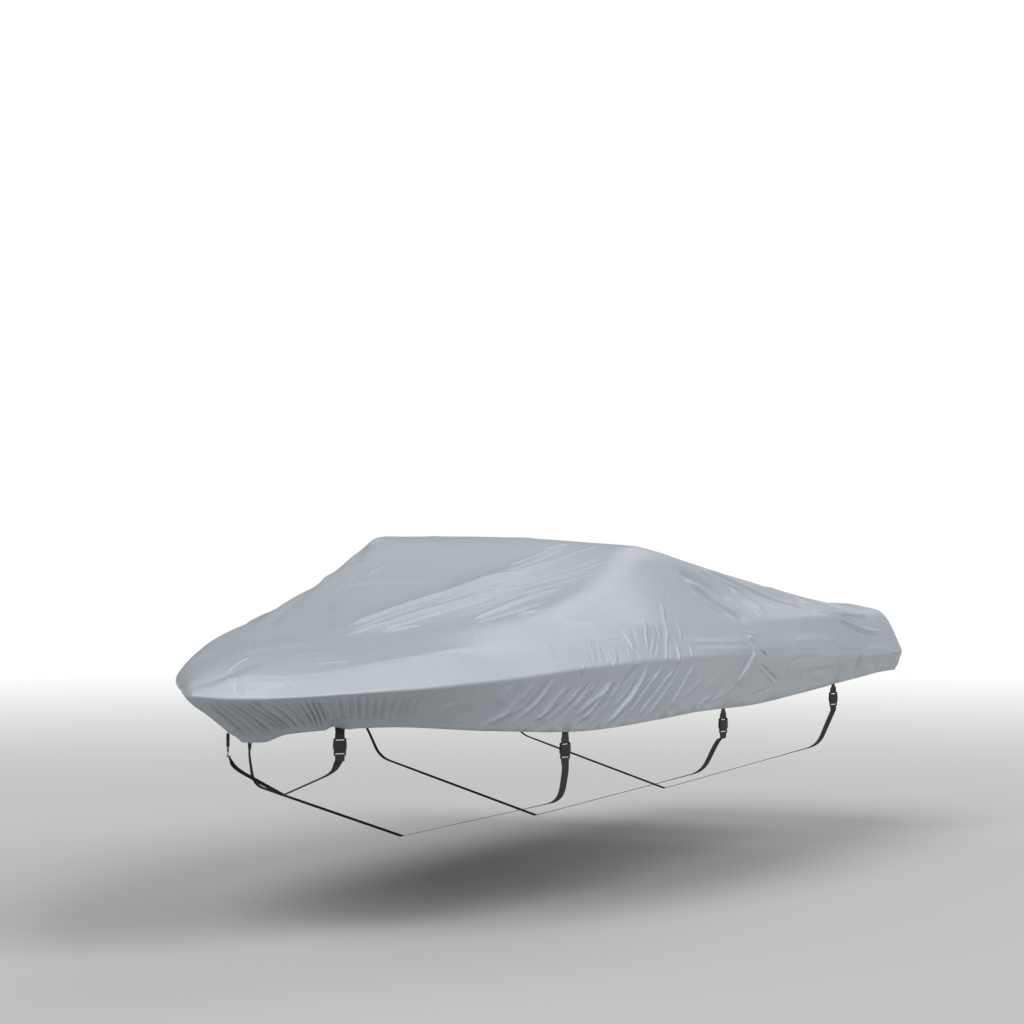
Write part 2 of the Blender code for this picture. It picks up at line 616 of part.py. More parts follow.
def smoothed(points, reach, step):
    """Route through straight runs, each corner rounded as a parabola, at steps of about the given length."""
    points = [np.asarray(p, float) for p in points]
    route = [points[0]]
    for before, corner, after in zip(points, points[1:], points[2:]):
        back = min(reach, BEND_LIMIT * np.linalg.norm(before - corner))
        ahead = min(reach, BEND_LIMIT * np.linalg.norm(after - corner))
        start = corner + unit(before - corner) * back
        end = corner + unit(after - corner) * ahead
        steps = np.linspace(0, 1, CORNER_STEPS)
        route += [start * (1 - t) ** 2 + corner * 2 * t * (1 - t) + end * t * t for t in steps]
    route.append(points[-1])
    full = [route[0]]
    for near, far in zip(route, route[1:]):
        count = max(1, round(np.linalg.norm(far - near) / step))
        full += [near + (far - near) * k / count for k in range(1, count + 1)]
    return full


def add_straps(cloth_object):
    """Tabs, buckles and under-hull straps of every station."""
    black_webbing = finish("black_webbing", (0.02, 0.02, 0.022), 0.75)
    black_plastic = finish("black_plastic", (0.015, 0.015, 0.016), 0.4)
    cloth_tree = BVHTree.FromObject(cloth_object, bpy.context.evaluated_depsgraph_get())
    shapes = (("socket", socket_shape()), ("plug", plug_shape()))
    for number, row in enumerate(STRAPS, 1):
        station = dict(zip(STRAP_COLUMNS, row))
        ends = {}
        for side, side_name in SIDE_NAMES.items():
            name = f"{side_name}_{number}"
            sewn_axes, buckle_axes, hem = strap_axes(station, side)
            seat = seated(hem, sewn_axes, cloth_tree)
            bar = add_tab(f"tab_{name}", seat, sewn_axes, buckle_axes, black_webbing)
            for kind, shape in shapes:
                half = piece(f"{kind}_{name}", shape.copy(), black_plastic)
                half.matrix_world = buckle_place(in_place(bar), *buckle_axes)
            ends[side] = (bar + buckle_axes[1] * PLUG_BAR_AT, *buckle_axes)
        add_under_hull_strap(f"strap_{number}", station, ends, black_webbing)


def strap_axes(station, side):
    """Axes of the sewn part and of the hanging buckle at a station, and its point on the hem."""
    round_ = station["round"] + NORMAL_STEP * np.array([-1, 0, 1])
    corners = section_corners(round_, side)
    gunwale, hem = corners[1, 3:5]
    run_x, run_y, _ = corners[2, 4] - corners[0, 4]
    off_hem = side * np.array([-run_y, run_x, 0])
    out_x, out_y = (part[1] for part in outward(round_))
    away = np.array([out_x, side * out_y, 0])
    turn = math.radians(station["turn"])
    turned = away * math.cos(turn) + np.array([-1, 0, 0]) * math.sin(turn)
    straight_down = np.array([0, 0, -1])
    return hanging_axes(unit(hem - gunwale), off_hem), hanging_axes(straight_down, turned), hem


def add_tab(name, seat, sewn_axes, buckle_axes, material):
    """Tab from inside the hem down to its loop round the socket's bar; returns the middle of the bar."""
    sewn_across, down_skirt, _ = sewn_axes
    across, down, facing = buckle_axes
    corner = seat + down_skirt * BELOW_HEM
    bar = corner + down * TAB_DROP
    loop = [bar - down * away + facing * lift for away, lift in loop_round_bar()]
    upper = smoothed([seat - down_skirt * SEWN_LENGTH, corner, loop[-1]], BELOW_HEM, TAB_STEP)
    below = [np.dot(point - corner, down) for point in upper]
    blend = faded(np.array(below), 0, below[-1])[:, None]
    turning = sewn_across * (1 - blend) + across * blend
    route = upper + loop[-2::-1]
    webbing(name, route, np.concatenate([turning, np.repeat([across], len(loop) - 1, 0)]), material)
    return bar


def buckle_place(at, across, down, facing):
    """World matrix that puts a buckle's own axes on its strap."""
    turned = Matrix((across, down, facing)).transposed().to_4x4()
    return Matrix.Translation(at) @ turned


def add_under_hull_strap(name, station, ends, material):
    """One strap from the port plug, down the side, round the chine and keel, to the starboard plug."""
    route, turning = [], []
    for side, (bar, across, down, facing) in ends.items():
        loop = [bar + down * away + facing * lift for away, lift in loop_round_bar()]
        x = bar[0]
        run = smoothed([
            loop[-1],
            (x, side * station["side_y"], station["side_z"]),
            (x, side * station["chine_y"], station["chine_z"]),
            (x, 0, station["keel_z"]),
        ], CORNER_REACH, RUN_STEP)
        blend = faded(np.linspace(0, 1, len(run)), 0, TWIST_END)[:, None]
        fore_and_aft = np.array([side, 0, 0])
        half = loop[:-1] + run
        half_turning = [across] * (len(loop) - 1) + list(across * (1 - blend) + fore_and_aft * blend)
        if side == STARBOARD:
            half = half[-2::-1]
            half_turning = [-way for way in half_turning[-2::-1]]
        route += half
        turning += half_turning
    webbing(name, route, turning, material)


add_straps(cloth)
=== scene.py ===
import math

import bpy
import numpy as np
from mathutils import Matrix


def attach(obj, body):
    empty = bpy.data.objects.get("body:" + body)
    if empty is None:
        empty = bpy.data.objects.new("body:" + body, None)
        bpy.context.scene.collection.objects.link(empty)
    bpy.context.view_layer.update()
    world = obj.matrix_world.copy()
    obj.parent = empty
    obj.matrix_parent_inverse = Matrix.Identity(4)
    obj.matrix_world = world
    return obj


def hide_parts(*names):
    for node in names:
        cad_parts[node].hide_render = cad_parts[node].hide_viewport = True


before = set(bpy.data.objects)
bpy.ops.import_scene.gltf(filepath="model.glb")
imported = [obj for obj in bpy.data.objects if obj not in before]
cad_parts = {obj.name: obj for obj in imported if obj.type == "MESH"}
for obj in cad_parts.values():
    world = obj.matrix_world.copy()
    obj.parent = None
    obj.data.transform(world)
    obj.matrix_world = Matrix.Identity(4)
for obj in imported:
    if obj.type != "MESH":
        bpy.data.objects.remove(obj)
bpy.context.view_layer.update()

# ---- Cover cloth ----------------------------------------------------------------------------------
# One sheet of grey coated polyester, cut and sewn to the shape of a runabout, with its hem turned up.
# It is stretched over the windscreen, bent sharply at the gunwale and gathered where it is too full.
# Places are metres aft of the bow, to starboard and up from the ground; REST is the frame's zero.
REST = np.array([2.37, 0.0, 1.583])
PORT = -1
STARBOARD = 1
SIDE_NAMES = {PORT: "port", STARBOARD: "starboard"}
HALF_BEAM = 0.985
BOW_LENGTH = 2.6
BOW_FULLNESS = 1.60
STERN_X = 5.12
STERN_HALF_WIDTH = 0.935
STERN_CORNER = 0.06
STERN_BULGE = 0.05
NOSE_REACH = 0.12
NOSE_RUN = 0.44
TUCK_RUN = 0.90
NORMAL_STEP = 0.02
PLAN_STEPS = {"bow": 400, "side": 200, "corner": 30, "stern": 80}


def near_nose(round_, run):
    """1 at the nose, and 0 from the end of that run."""
    return np.clip(1 - np.asarray(round_) / run, 0, 1)


def gunwale_plan():
    """Points of the starboard gunwale, nose to middle of the stern, and their distance round.

    The distance is that round a blunt nose, which is then drawn out to a point.
    """
    bow = np.linspace(0, 1, PLAN_STEPS["bow"]) ** 2
    side = np.linspace(0, 1, PLAN_STEPS["side"])[1:]
    corner = np.linspace(0, math.pi / 2, PLAN_STEPS["corner"])[1:]
    stern = np.linspace(1, 0, PLAN_STEPS["stern"])[1:]
    side_end = STERN_X - STERN_CORNER
    inner_half = STERN_HALF_WIDTH - STERN_CORNER
    x = np.concatenate([
        BOW_LENGTH * bow,
        BOW_LENGTH + (side_end - BOW_LENGTH) * side,
        side_end + STERN_CORNER * np.sin(corner),
        STERN_X + STERN_BULGE * (1 - stern ** 2),
    ])
    y = np.concatenate([
        HALF_BEAM * (1 - (1 - bow) ** 2) ** (1 / BOW_FULLNESS),
        HALF_BEAM - (HALF_BEAM - STERN_HALF_WIDTH) * side ** 2,
        inner_half + STERN_CORNER * np.cos(corner),
        inner_half * stern,
    ])
    distance = np.concatenate([[0], np.cumsum(np.hypot(np.diff(x), np.diff(y)))])
    return x - NOSE_REACH * near_nose(distance, NOSE_RUN) ** 2, y, distance


PLAN_X, PLAN_Y, PLAN_DISTANCE = gunwale_plan()
HALF_ROUND = PLAN_DISTANCE[-1]


def on_gunwale(round_):
    """Plan position at a distance round the gunwale from the nose."""
    return np.interp(round_, PLAN_DISTANCE, PLAN_X), np.interp(round_, PLAN_DISTANCE, PLAN_Y)


def outward(round_):
    """Unit direction away from the boat at that distance, in plan."""
    before_x, before_y = on_gunwale(np.clip(round_ - NORMAL_STEP, 0, HALF_ROUND))
    after_x, after_y = on_gunwale(np.clip(round_ + NORMAL_STEP, 0, HALF_ROUND))
    length = np.hypot(after_x - before_x, after_y - before_y)
    out_x = (before_y - after_y) / length
    out_y = (after_x - before_x) / length
    on_middle = (round_ < NORMAL_STEP / 2) | (round_ > HALF_ROUND - NORMAL_STEP / 2)
    return np.where(on_middle, np.sign(out_x), out_x), np.where(on_middle, 0, out_y)


# Sections from the middle line over the shoulder and the coaming edge to the gunwale and the hem.
SECTION_COLUMNS = (
    "round", "spine_x", "crown", "shoulder_part", "shoulder_z", "shoulder_lean",
    "edge_in", "edge_z", "gunwale_z", "gunwale_lean", "tuck", "hem_z")
SECTIONS = (
    (0.00, 0.70, 1.165, 0.50, 1.120, 0.000, 0.04, 1.030, 1.003, 0.000, 0.340, 0.811),
    (0.12, 0.71, 1.167, 0.50, 1.125, 0.006, 0.05, 1.073, 0.994, 0.006, 0.360, 0.806),
    (0.30, 0.74, 1.172, 0.50, 1.138, 0.012, 0.07, 1.080, 1.004, 0.016, 0.296, 0.835),
    (0.75, 0.88, 1.190, 0.55, 1.161, 0.014, 0.08, 1.123, 1.012, 0.008, 0.170, 0.855),
    (1.28, 1.19, 1.245, 0.62, 1.222, 0.014, 0.09, 1.175, 1.039, 0.008, 0.115, 0.822),
    (1.80, 1.60, 1.345, 0.73, 1.300, 0.014, 0.09, 1.203, 1.064, 0.002, 0.080, 0.797),
    (2.30, 2.05, 1.480, 0.71, 1.446, 0.016, 0.08, 1.207, 1.074, 0.000, 0.060, 0.815),
    (2.53, 2.26, 1.568, 0.69, 1.547, 0.020, 0.08, 1.203, 1.076, 0.000, 0.055, 0.825),
    (2.65, 2.37, 1.588, 0.69, 1.566, 0.023, 0.08, 1.199, 1.075, 0.000, 0.050, 0.830),
    (2.80, 2.52, 1.572, 0.70, 1.551, 0.023, 0.08, 1.198, 1.075, 0.000, 0.050, 0.830),
    (3.20, 2.90, 1.520, 0.69, 1.494, 0.019, 0.08, 1.196, 1.072, 0.000, 0.050, 0.825),
    (3.90, 3.55, 1.425, 0.70, 1.396, 0.016, 0.08, 1.192, 1.045, 0.000, 0.050, 0.845),
    (4.70, 4.18, 1.335, 0.74, 1.288, 0.014, 0.09, 1.184, 1.010, 0.000, 0.045, 0.877),
    (5.20, 4.42, 1.300, 0.82, 1.241, 0.010, 0.08, 1.196, 0.990, 0.000, 0.040, 0.893),
    (5.80, 4.62, 1.280, 0.72, 1.233, 0.006, 0.14, 1.205, 0.990, 0.000, 0.040, 0.890),
    (HALF_ROUND, 4.78, 1.265, 0.50, 1.235, 0.000, 0.14, 1.205, 0.990, 0.000, 0.040, 0.890),
)
SPINE_BEND = 0.25
SHOULDER_BEND = 0.08
# How far along the cloth it bends at the gunwale on each side.
GUNWALE_COLUMNS = ("round", "port", "starboard")
GUNWALE_BENDS = (
    (0.00, 0.025, 0.025),
    (0.05, 0.010, 0.050),
    (0.80, 0.010, 0.050),
    (1.50, 0.010, 0.012),
    (3.00, 0.012, 0.012),
    (3.45, 0.050, 0.050),
    (4.60, 0.040, 0.040),
    (5.00, 0.010, 0.010),
    (5.50, 0.012, 0.012),
    (HALF_ROUND, 0.040, 0.040),
)
# The coaming edge: how far it bends, and how much of it is drawn straight between shoulder and gunwale.
EDGE_COLUMNS = ("round", "port_bend", "starboard_bend", "port_drawn", "starboard_drawn")
EDGES = (
    (0.00, 0.070, 0.120, 0.30, 0.30),
    (0.12, 0.030, 0.120, 0.00, 0.30),
    (0.40, 0.020, 0.110, 0.00, 0.20),
    (0.60, 0.016, 0.100, 0.00, 0.00),
    (1.05, 0.016, 0.060, 0.00, 0.00),
    (1.55, 0.150, 0.060, 0.70, 0.00),
    (1.95, 0.150, 0.060, 0.60, 0.00),
    (2.20, 0.016, 0.040, -0.45, 0.00),
    (4.60, 0.016, 0.020, -0.50, 0.00),
    (5.10, 0.160, 0.160, 0.00, 0.00),
    (HALF_ROUND, 0.160, 0.160, 0.00, 0.00),
)
BEND_LIMIT = 0.45
BEND_STEPS = 8


def eased(at, places, values):
    """Smooth curve through the values that never overshoots them (monotone cubic)."""
    gap = np.diff(places)
    slope = np.diff(values) / gap
    tangent = np.concatenate([slope[:1], np.zeros(len(places) - 2), slope[-1:]])
    for i in range(1, len(places) - 1):
        if slope[i - 1] * slope[i] > 0:
            near = (2 * gap[i] + gap[i - 1]) / slope[i - 1]
            far = (gap[i] + 2 * gap[i - 1]) / slope[i]
            tangent[i] = 3 * (gap[i - 1] + gap[i]) / (near + far)
    i = np.clip(np.searchsorted(places, at) - 1, 0, len(places) - 2)
    t = (at - places[i]) / gap[i]
    start = values[i] * (1 + 2 * t) * (1 - t) ** 2 + tangent[i] * gap[i] * t * (1 - t) ** 2
    end = values[i + 1] * t * t * (3 - 2 * t) + tangent[i + 1] * gap[i] * t * t * (t - 1)
    return start + end


def named(columns, rows):
    """The rows of a table, each with its values by the names of their columns."""
    return [dict(zip(columns, row)) for row in rows]


def section_values(round_):
    """Every column of the table at the given distances round the gunwale, by name."""
    rows = np.array(SECTIONS)
    return {name: eased(round_, rows[:, 0], rows[:, i]) for i, name in enumerate(SECTION_COLUMNS)}


def section_corners(round_, side):
    """Spine, shoulder, edge, gunwale and hem points of the sections, before their bends are rounded."""
    at = section_values(round_)
    plan_x, plan_y = on_gunwale(round_)
    out_x, out_y = outward(round_)
    reach = np.hypot(plan_x - at["spine_x"], plan_y)
    toward_x = (plan_x - at["spine_x"]) / reach
    toward_y = plan_y / reach
    nose = near_nose(round_, TUCK_RUN)
    under_x = out_x + (toward_x - out_x) * nose
    under_y = out_y + (toward_y - out_y) * nose

    def along(distance, z):
        return np.stack([at["spine_x"] + toward_x * distance, toward_y * distance, z], -1)

    corners = np.stack([
        along(0 * reach, at["crown"]),
        along(at["shoulder_part"] * reach, at["shoulder_z"] + side * at["shoulder_lean"]),
        along(reach - at["edge_in"], at["edge_z"] + side * at["gunwale_lean"]),
        np.stack([plan_x, plan_y, at["gunwale_z"] + side * at["gunwale_lean"]], -1),
        np.stack([plan_x - under_x * at["tuck"], plan_y - under_y * at["tuck"], at["hem_z"]], -1),
    ], 1)
    return corners * np.array([1, side, 1])


def parabola(start, corner, end, t):
    """Points of the curve from start to end that leaves and arrives along the two sides of the corner."""
    return start * (1 - t) ** 2 + corner * 2 * t * (1 - t) + end * t * t


def bent(before, corner, after, size, first=0.0):
    """Points round one corner of every section, as a parabola that starts and ends at the given size."""
    back = before - corner
    ahead = after - corner
    back_length = np.linalg.norm(back, axis=1, keepdims=True)
    ahead_length = np.linalg.norm(ahead, axis=1, keepdims=True)
    start = corner + back * np.minimum(size / back_length, BEND_LIMIT)
    end = corner + ahead * np.minimum(size / ahead_length, BEND_LIMIT)
    t = np.linspace(first, 1, BEND_STEPS + 1)[None, :, None]
    return parabola(start[:, None], corner[:, None], end[:, None], t)


def length_along(line):
    """Distance of each point of a line from its first, along the line."""
    return np.concatenate([[0], np.cumsum(np.linalg.norm(np.diff(line, axis=0), axis=1))])


def spread_evenly(points, count):
    """The same lines with their points at equal steps along each."""
    lines = []
    for line in points:
        run = length_along(line)
        steps = np.linspace(0, run[-1], count)
        lines.append(np.stack([np.interp(steps, run, line[:, axis]) for axis in range(3)], -1))
    return np.array(lines)


# How closely the sections and rows stand: small folds need a closer mesh.
PITCH_ROUND = (
    (0.60, 0.0045), (1.30, 0.008), (1.60, 0.006), (2.70, 0.0045), (3.60, 0.007), (HALF_ROUND, 0.011))
DECK_ROWS = 220
SKIRT_ROWS = 56


def section_places():
    """Distances round the gunwale at which the sections stand."""
    places = [0.0]
    for up_to, pitch in PITCH_ROUND:
        count = round((up_to - places[-1]) / pitch)
        places += list(np.linspace(places[-1], up_to, count + 1)[1:])
    return np.array(places)


def unit(vectors):
    """The same direction, or each of the same directions, at length 1."""
    return np.asarray(vectors, float) / np.linalg.norm(vectors, axis=-1, keepdims=True)


def read_between(columns, rows, name, places):
    """One column of a table by distance round, read between its rows at the given places."""
    column = dict(zip(columns, zip(*rows)))
    return np.interp(places, column["round"], column[name])[:, None]


def smooth_cloth(side, places):
    """Grid of points over one half of the cover, from the middle line to the hem, without folds."""
    spine, shoulder, edge, gunwale, hem = section_corners(places, side).transpose(1, 0, 2)
    side_name = SIDE_NAMES[side]
    edge_bend = read_between(EDGE_COLUMNS, EDGES, side_name + "_bend", places)
    drawn = read_between(EDGE_COLUMNS, EDGES, side_name + "_drawn", places)
    gunwale_bend = read_between(GUNWALE_COLUMNS, GUNWALE_BENDS, side_name, places)
    run = unit(gunwale - shoulder)
    straight = shoulder + run * np.sum((edge - shoulder) * run, axis=1, keepdims=True)
    edge = edge + (straight - edge) * drawn
    mirrored = shoulder * np.array([1, -1, 1])
    mirrored[:, 2] -= 2 * side * section_values(places)["shoulder_lean"]
    at_gunwale = bent(edge, gunwale, hem, gunwale_bend)
    half = BEND_STEPS // 2
    deck = np.concatenate([
        bent(mirrored, spine, shoulder, SPINE_BEND, first=0.5),
        bent(spine, shoulder, edge, SHOULDER_BEND),
        bent(shoulder, edge, gunwale, edge_bend),
        at_gunwale[:, :half + 1],
    ], 1)
    skirt = np.concatenate([at_gunwale[:, half:], hem[:, None]], 1)
    below = spread_evenly(skirt, SKIRT_ROWS + 1)[:, 1:]
    grid = np.concatenate([spread_evenly(deck, DECK_ROWS + 1), below], 1)
    grid[:, 0, 1] = 0
    grid[[0, -1], :, 1] = 0
    return grid


# Folds. A place on the cover is its distance round the gunwale and its way down: 0 at the middle
# line, 1 at the gunwale, 2 at the hem. Either is negative on the other half. A fold runs through
# three places; a trough's height is negative.
FOLD_COLUMNS = ("round_a", "down_a", "round_b", "down_b", "round_c", "down_c", "width", "height")
# Broad swells and hollows that carry the small folds.
PORT_SWELLS = (
    (0.80, 0.00, 1.70, 0.12, 2.46, 0.30, 0.120, 0.0220),
    (1.75, 0.15, 2.10, 0.22, 2.52, 0.33, 0.070, 0.0110),
    (1.30, 0.42, 1.90, 0.47, 2.40, 0.56, 0.120, -0.0130),
)
SWELLS = (
    (2.80, 0.70, 3.60, 0.72, 4.60, 0.72, 0.075, -0.0120),
    (3.30, 1.00, 3.90, 1.00, 4.70, 1.00, 0.060, 0.0060),
)
# The fan of long folds from the windscreen to the bow, and the creases round it on both halves.
PORT_STRETCH = (
    (1.08, -0.06, 1.65, 0.10, 2.18, 0.27, 0.024, 0.0137),
    (0.81, 0.05, 1.50, 0.19, 2.02, 0.33, 0.014, 0.0081),
    (2.19, 0.26, 2.39, 0.34, 2.59, 0.43, 0.011, 0.0051),
    (0.97, 0.04, 1.31, 0.08, 1.61, 0.17, 0.009, -0.0047),
    (0.98, 0.18, 1.45, 0.25, 1.90, 0.34, 0.012, -0.0060),
    (1.02, 0.20, 1.17, 0.26, 1.31, 0.31, 0.016, 0.0077),
    (1.48, 0.46, 1.85, 0.43, 2.14, 0.51, 0.017, 0.0097),
    (1.44, 0.52, 1.72, 0.52, 1.98, 0.57, 0.017, -0.0087),
    (1.70, 0.55, 1.75, 0.56, 1.81, 0.56, 0.015, -0.0070),
    (1.66, 0.58, 1.72, 0.60, 1.79, 0.61, 0.014, 0.0057),
    (1.97, 0.34, 2.17, 0.42, 2.33, 0.55, 0.010, -0.0063),
    (1.95, 0.38, 2.13, 0.45, 2.30, 0.55, 0.011, 0.0054),
    (2.01, 0.33, 2.27, 0.42, 2.46, 0.54, 0.011, -0.0067),
    (1.98, 0.34, 2.23, 0.43, 2.43, 0.55, 0.011, 0.0047),
    (2.22, 0.18, 2.35, 0.21, 2.46, 0.27, 0.014, 0.0075),
    (2.12, 0.21, 2.30, 0.26, 2.51, 0.32, 0.013, -0.0068),
    (2.44, 0.22, 2.50, 0.26, 2.56, 0.29, 0.015, 0.0072),
    (1.61, 0.18, 1.83, 0.22, 2.06, 0.28, 0.007, -0.0030),
    (1.96, -0.46, 2.01, -0.27, 1.94, 0.15, 0.021, -0.0047),
    (2.13, -0.41, 2.23, -0.39, 2.29, -0.36, 0.012, 0.0035),
    (1.82, 0.70, 1.87, 0.76, 1.97, 0.77, 0.016, -0.0020),
    (1.33, 0.59, 1.30, 0.66, 1.21, 0.70, 0.007, 0.0013),
    (0.37, 0.63, 0.47, 0.64, 0.57, 0.67, 0.014, 0.0050),
    (0.85, 0.04, 1.07, 0.09, 1.23, 0.21, 0.014, 0.0045),
)
# The same pull on the starboard side, where the folds are fewer.
STARBOARD_STRETCH = (
    (0.90, 0.10, 1.45, 0.24, 1.95, 0.42, 0.060, 0.0030),
    (1.10, 0.50, 1.65, 0.58, 2.20, 0.66, 0.030, -0.0045),
    (1.25, 0.60, 1.80, 0.66, 2.35, 0.72, 0.028, 0.0060),
    (1.55, 0.66, 1.95, 0.70, 2.30, 0.76, 0.018, -0.0052),
    (1.40, 0.72, 1.95, 0.76, 2.40, 0.80, 0.016, 0.0060),
    (2.05, 0.58, 2.30, 0.64, 2.52, 0.66, 0.018, 0.0060),
    (2.30, 0.53, 2.42, 0.54, 2.54, 0.53, 0.050, -0.0130),
    (2.50, 0.49, 2.58, 0.52, 2.66, 0.54, 0.045, 0.0080),
)
# Short gathers across the gunwale amidships.
PORT_GATHERS = (
    (1.71, 0.94, 1.70, 0.98, 1.70, 1.03, 0.007, 0.0059),
    (1.85, 0.85, 1.81, 0.93, 1.78, 0.99, 0.006, 0.0060),
    (1.79, 0.90, 1.76, 0.95, 1.74, 1.03, 0.005, 0.0038),
    (1.90, 0.91, 1.88, 0.96, 1.88, 0.99, 0.007, 0.0063),
    (1.95, 0.92, 1.94, 0.96, 1.91, 0.99, 0.005, 0.0044),
    (1.89, 0.87, 1.87, 0.91, 1.84, 0.97, 0.005, 0.0035),
    (2.08, 0.85, 2.08, 0.91, 2.08, 0.95, 0.009, 0.0054),
    (2.06, 0.91, 2.04, 0.95, 2.02, 1.01, 0.006, 0.0033),
    (2.27, 0.82, 2.20, 0.91, 2.16, 0.99, 0.007, 0.0059),
    (2.51, 0.77, 2.42, 0.86, 2.33, 0.94, 0.009, 0.0070),
    (2.41, 0.87, 2.33, 0.95, 2.26, 1.03, 0.007, 0.0078),
    (2.43, 0.96, 2.40, 0.99, 2.38, 1.11, 0.007, 0.0075),
    (2.53, 0.88, 2.51, 0.91, 2.47, 0.94, 0.007, 0.0036),
    (2.27, 0.90, 2.24, 0.93, 2.19, 0.97, 0.006, 0.0038),
    (2.28, 0.93, 2.25, 0.96, 2.21, 0.99, 0.006, 0.0035),
    (2.11, 0.94, 2.10, 0.97, 2.09, 1.00, 0.006, 0.0039),
    (2.43, 0.98, 2.42, 1.04, 2.40, 1.16, 0.007, -0.0048),
    (1.88, 0.87, 1.85, 0.91, 1.81, 0.98, 0.005, -0.0045),
    (1.84, 0.88, 1.80, 0.95, 1.79, 1.01, 0.005, -0.0039),
    (1.91, 0.91, 1.89, 0.96, 1.89, 1.03, 0.006, -0.0057),
    (1.88, 0.99, 1.88, 1.03, 1.89, 1.10, 0.006, -0.0045),
    (1.67, 1.01, 1.69, 1.10, 1.70, 1.20, 0.006, -0.0040),
    (1.99, 0.92, 1.96, 0.97, 1.93, 1.00, 0.005, -0.0032),
    (2.20, 0.91, 2.18, 0.94, 2.17, 0.99, 0.006, -0.0050),
    (2.43, 0.87, 2.36, 0.94, 2.28, 1.03, 0.006, -0.0060),
    (1.97, 0.88, 2.00, 0.89, 2.06, 0.90, 0.005, -0.0029),
    (1.59, 0.94, 1.57, 0.97, 1.56, 1.00, 0.005, 0.0026),
    (1.68, 0.89, 1.65, 0.94, 1.63, 0.99, 0.005, 0.0023),
    (2.54, 0.96, 2.52, 0.99, 2.52, 1.04, 0.009, 0.0045),
)
# Slanting drapes in the skirt below them.
PORT_DRAPES = (
    (1.62, 1.23, 1.55, 1.54, 1.49, 1.83, 0.011, 0.0073),
    (1.72, 1.24, 1.63, 1.59, 1.53, 1.90, 0.009, 0.0055),
    (1.90, 1.24, 1.82, 1.63, 1.76, 1.86, 0.015, 0.0099),
    (1.95, 1.34, 1.88, 1.67, 1.80, 1.94, 0.009, 0.0055),
    (2.15, 1.01, 2.07, 1.49, 1.91, 1.97, 0.014, 0.0122),
    (2.28, 1.09, 2.17, 1.44, 2.05, 1.93, 0.010, 0.0095),
    (2.21, 1.24, 2.13, 1.43, 2.08, 1.61, 0.007, 0.0046),
    (2.39, 1.13, 2.27, 1.47, 2.13, 1.93, 0.010, 0.0090),
    (2.43, 1.16, 2.34, 1.49, 2.21, 1.94, 0.012, 0.0082),
    (2.54, 1.09, 2.48, 1.44, 2.38, 1.86, 0.014, 0.0100),
    (2.30, 1.69, 2.28, 1.83, 2.27, 1.96, 0.011, 0.0057),
    (2.07, 1.30, 2.01, 1.51, 1.95, 1.69, 0.008, 0.0042),
    (1.98, 1.24, 1.93, 1.51, 1.87, 1.76, 0.009, 0.0040),
    (2.08, 1.04, 2.01, 1.24, 1.96, 1.41, 0.011, -0.0067),
    (2.13, 1.29, 2.05, 1.67, 1.97, 2.00, 0.010, -0.0086),
    (2.24, 1.26, 2.16, 1.59, 2.08, 1.93, 0.008, -0.0067),
    (2.34, 1.27, 2.26, 1.59, 2.17, 1.91, 0.009, -0.0066),
    (2.41, 1.23, 2.34, 1.59, 2.26, 1.89, 0.009, -0.0058),
    (1.94, 1.29, 1.85, 1.61, 1.79, 1.80, 0.008, -0.0057),
    (1.77, 1.21, 1.68, 1.54, 1.60, 1.86, 0.009, -0.0053),
    (1.66, 1.23, 1.59, 1.59, 1.53, 1.79, 0.008, -0.0042),
    (2.53, 1.23, 2.47, 1.53, 2.41, 1.81, 0.010, -0.0058),
    (1.53, 1.10, 1.48, 1.37, 1.44, 1.59, 0.011, 0.0053),
    (1.49, 1.09, 1.46, 1.37, 1.41, 1.61, 0.009, -0.0043),
    (1.41, 1.13, 1.39, 1.30, 1.37, 1.44, 0.010, 0.0042),
    (1.29, 1.11, 1.27, 1.30, 1.26, 1.50, 0.012, 0.0039),
    (1.34, 1.11, 1.33, 1.29, 1.32, 1.47, 0.008, -0.0032),
    (1.13, 1.13, 1.12, 1.34, 1.12, 1.56, 0.009, 0.0024),
)
# Creases on top of the nose.
NOSE_FOLDS = (
    (0.00, 0.69, -0.05, 0.54, -0.07, 0.40, 0.009, 0.0042),
    (0.01, 0.71, 0.10, 0.90, 0.12, 0.96, 0.009, 0.0030),
    (0.10, 0.80, 0.13, 0.89, 0.14, 0.98, 0.012, -0.0044),
    (0.15, 0.95, 0.21, 0.90, 0.29, 0.89, 0.013, 0.0030),
    (0.28, 0.89, 0.31, 0.92, 0.34, 0.96, 0.010, -0.0016),
    (-0.06, 0.97, 0.00, 0.80, 0.03, 0.62, 0.022, -0.0060),
)
# Pleats from the gunwale to the hem, ridge and trough by turns, from one place round it to another.
PLEAT_COLUMNS = (
    "top_from", "top_to", "hem_from", "hem_to", "down_top", "down_hem", "count", "width", "height")
PLEATS = (
    (0.02, 0.14, 0.03, 0.29, 1.00, 1.98, 10, 0.0052, 0.0062),
    (0.14, 0.44, 0.29, 0.53, 1.00, 1.98, 24, 0.0054, 0.0082),
    (0.44, 0.86, 0.53, 0.88, 1.02, 1.90, 22, 0.0060, 0.0054),
)
PLEAT_SHIFT = 0.3
PLEAT_DROP = 0.13
PLEAT_HEIGHT_PART = (0.6, 1.3)
PLEAT_WIDTH_PART = (0.85, 1.25)
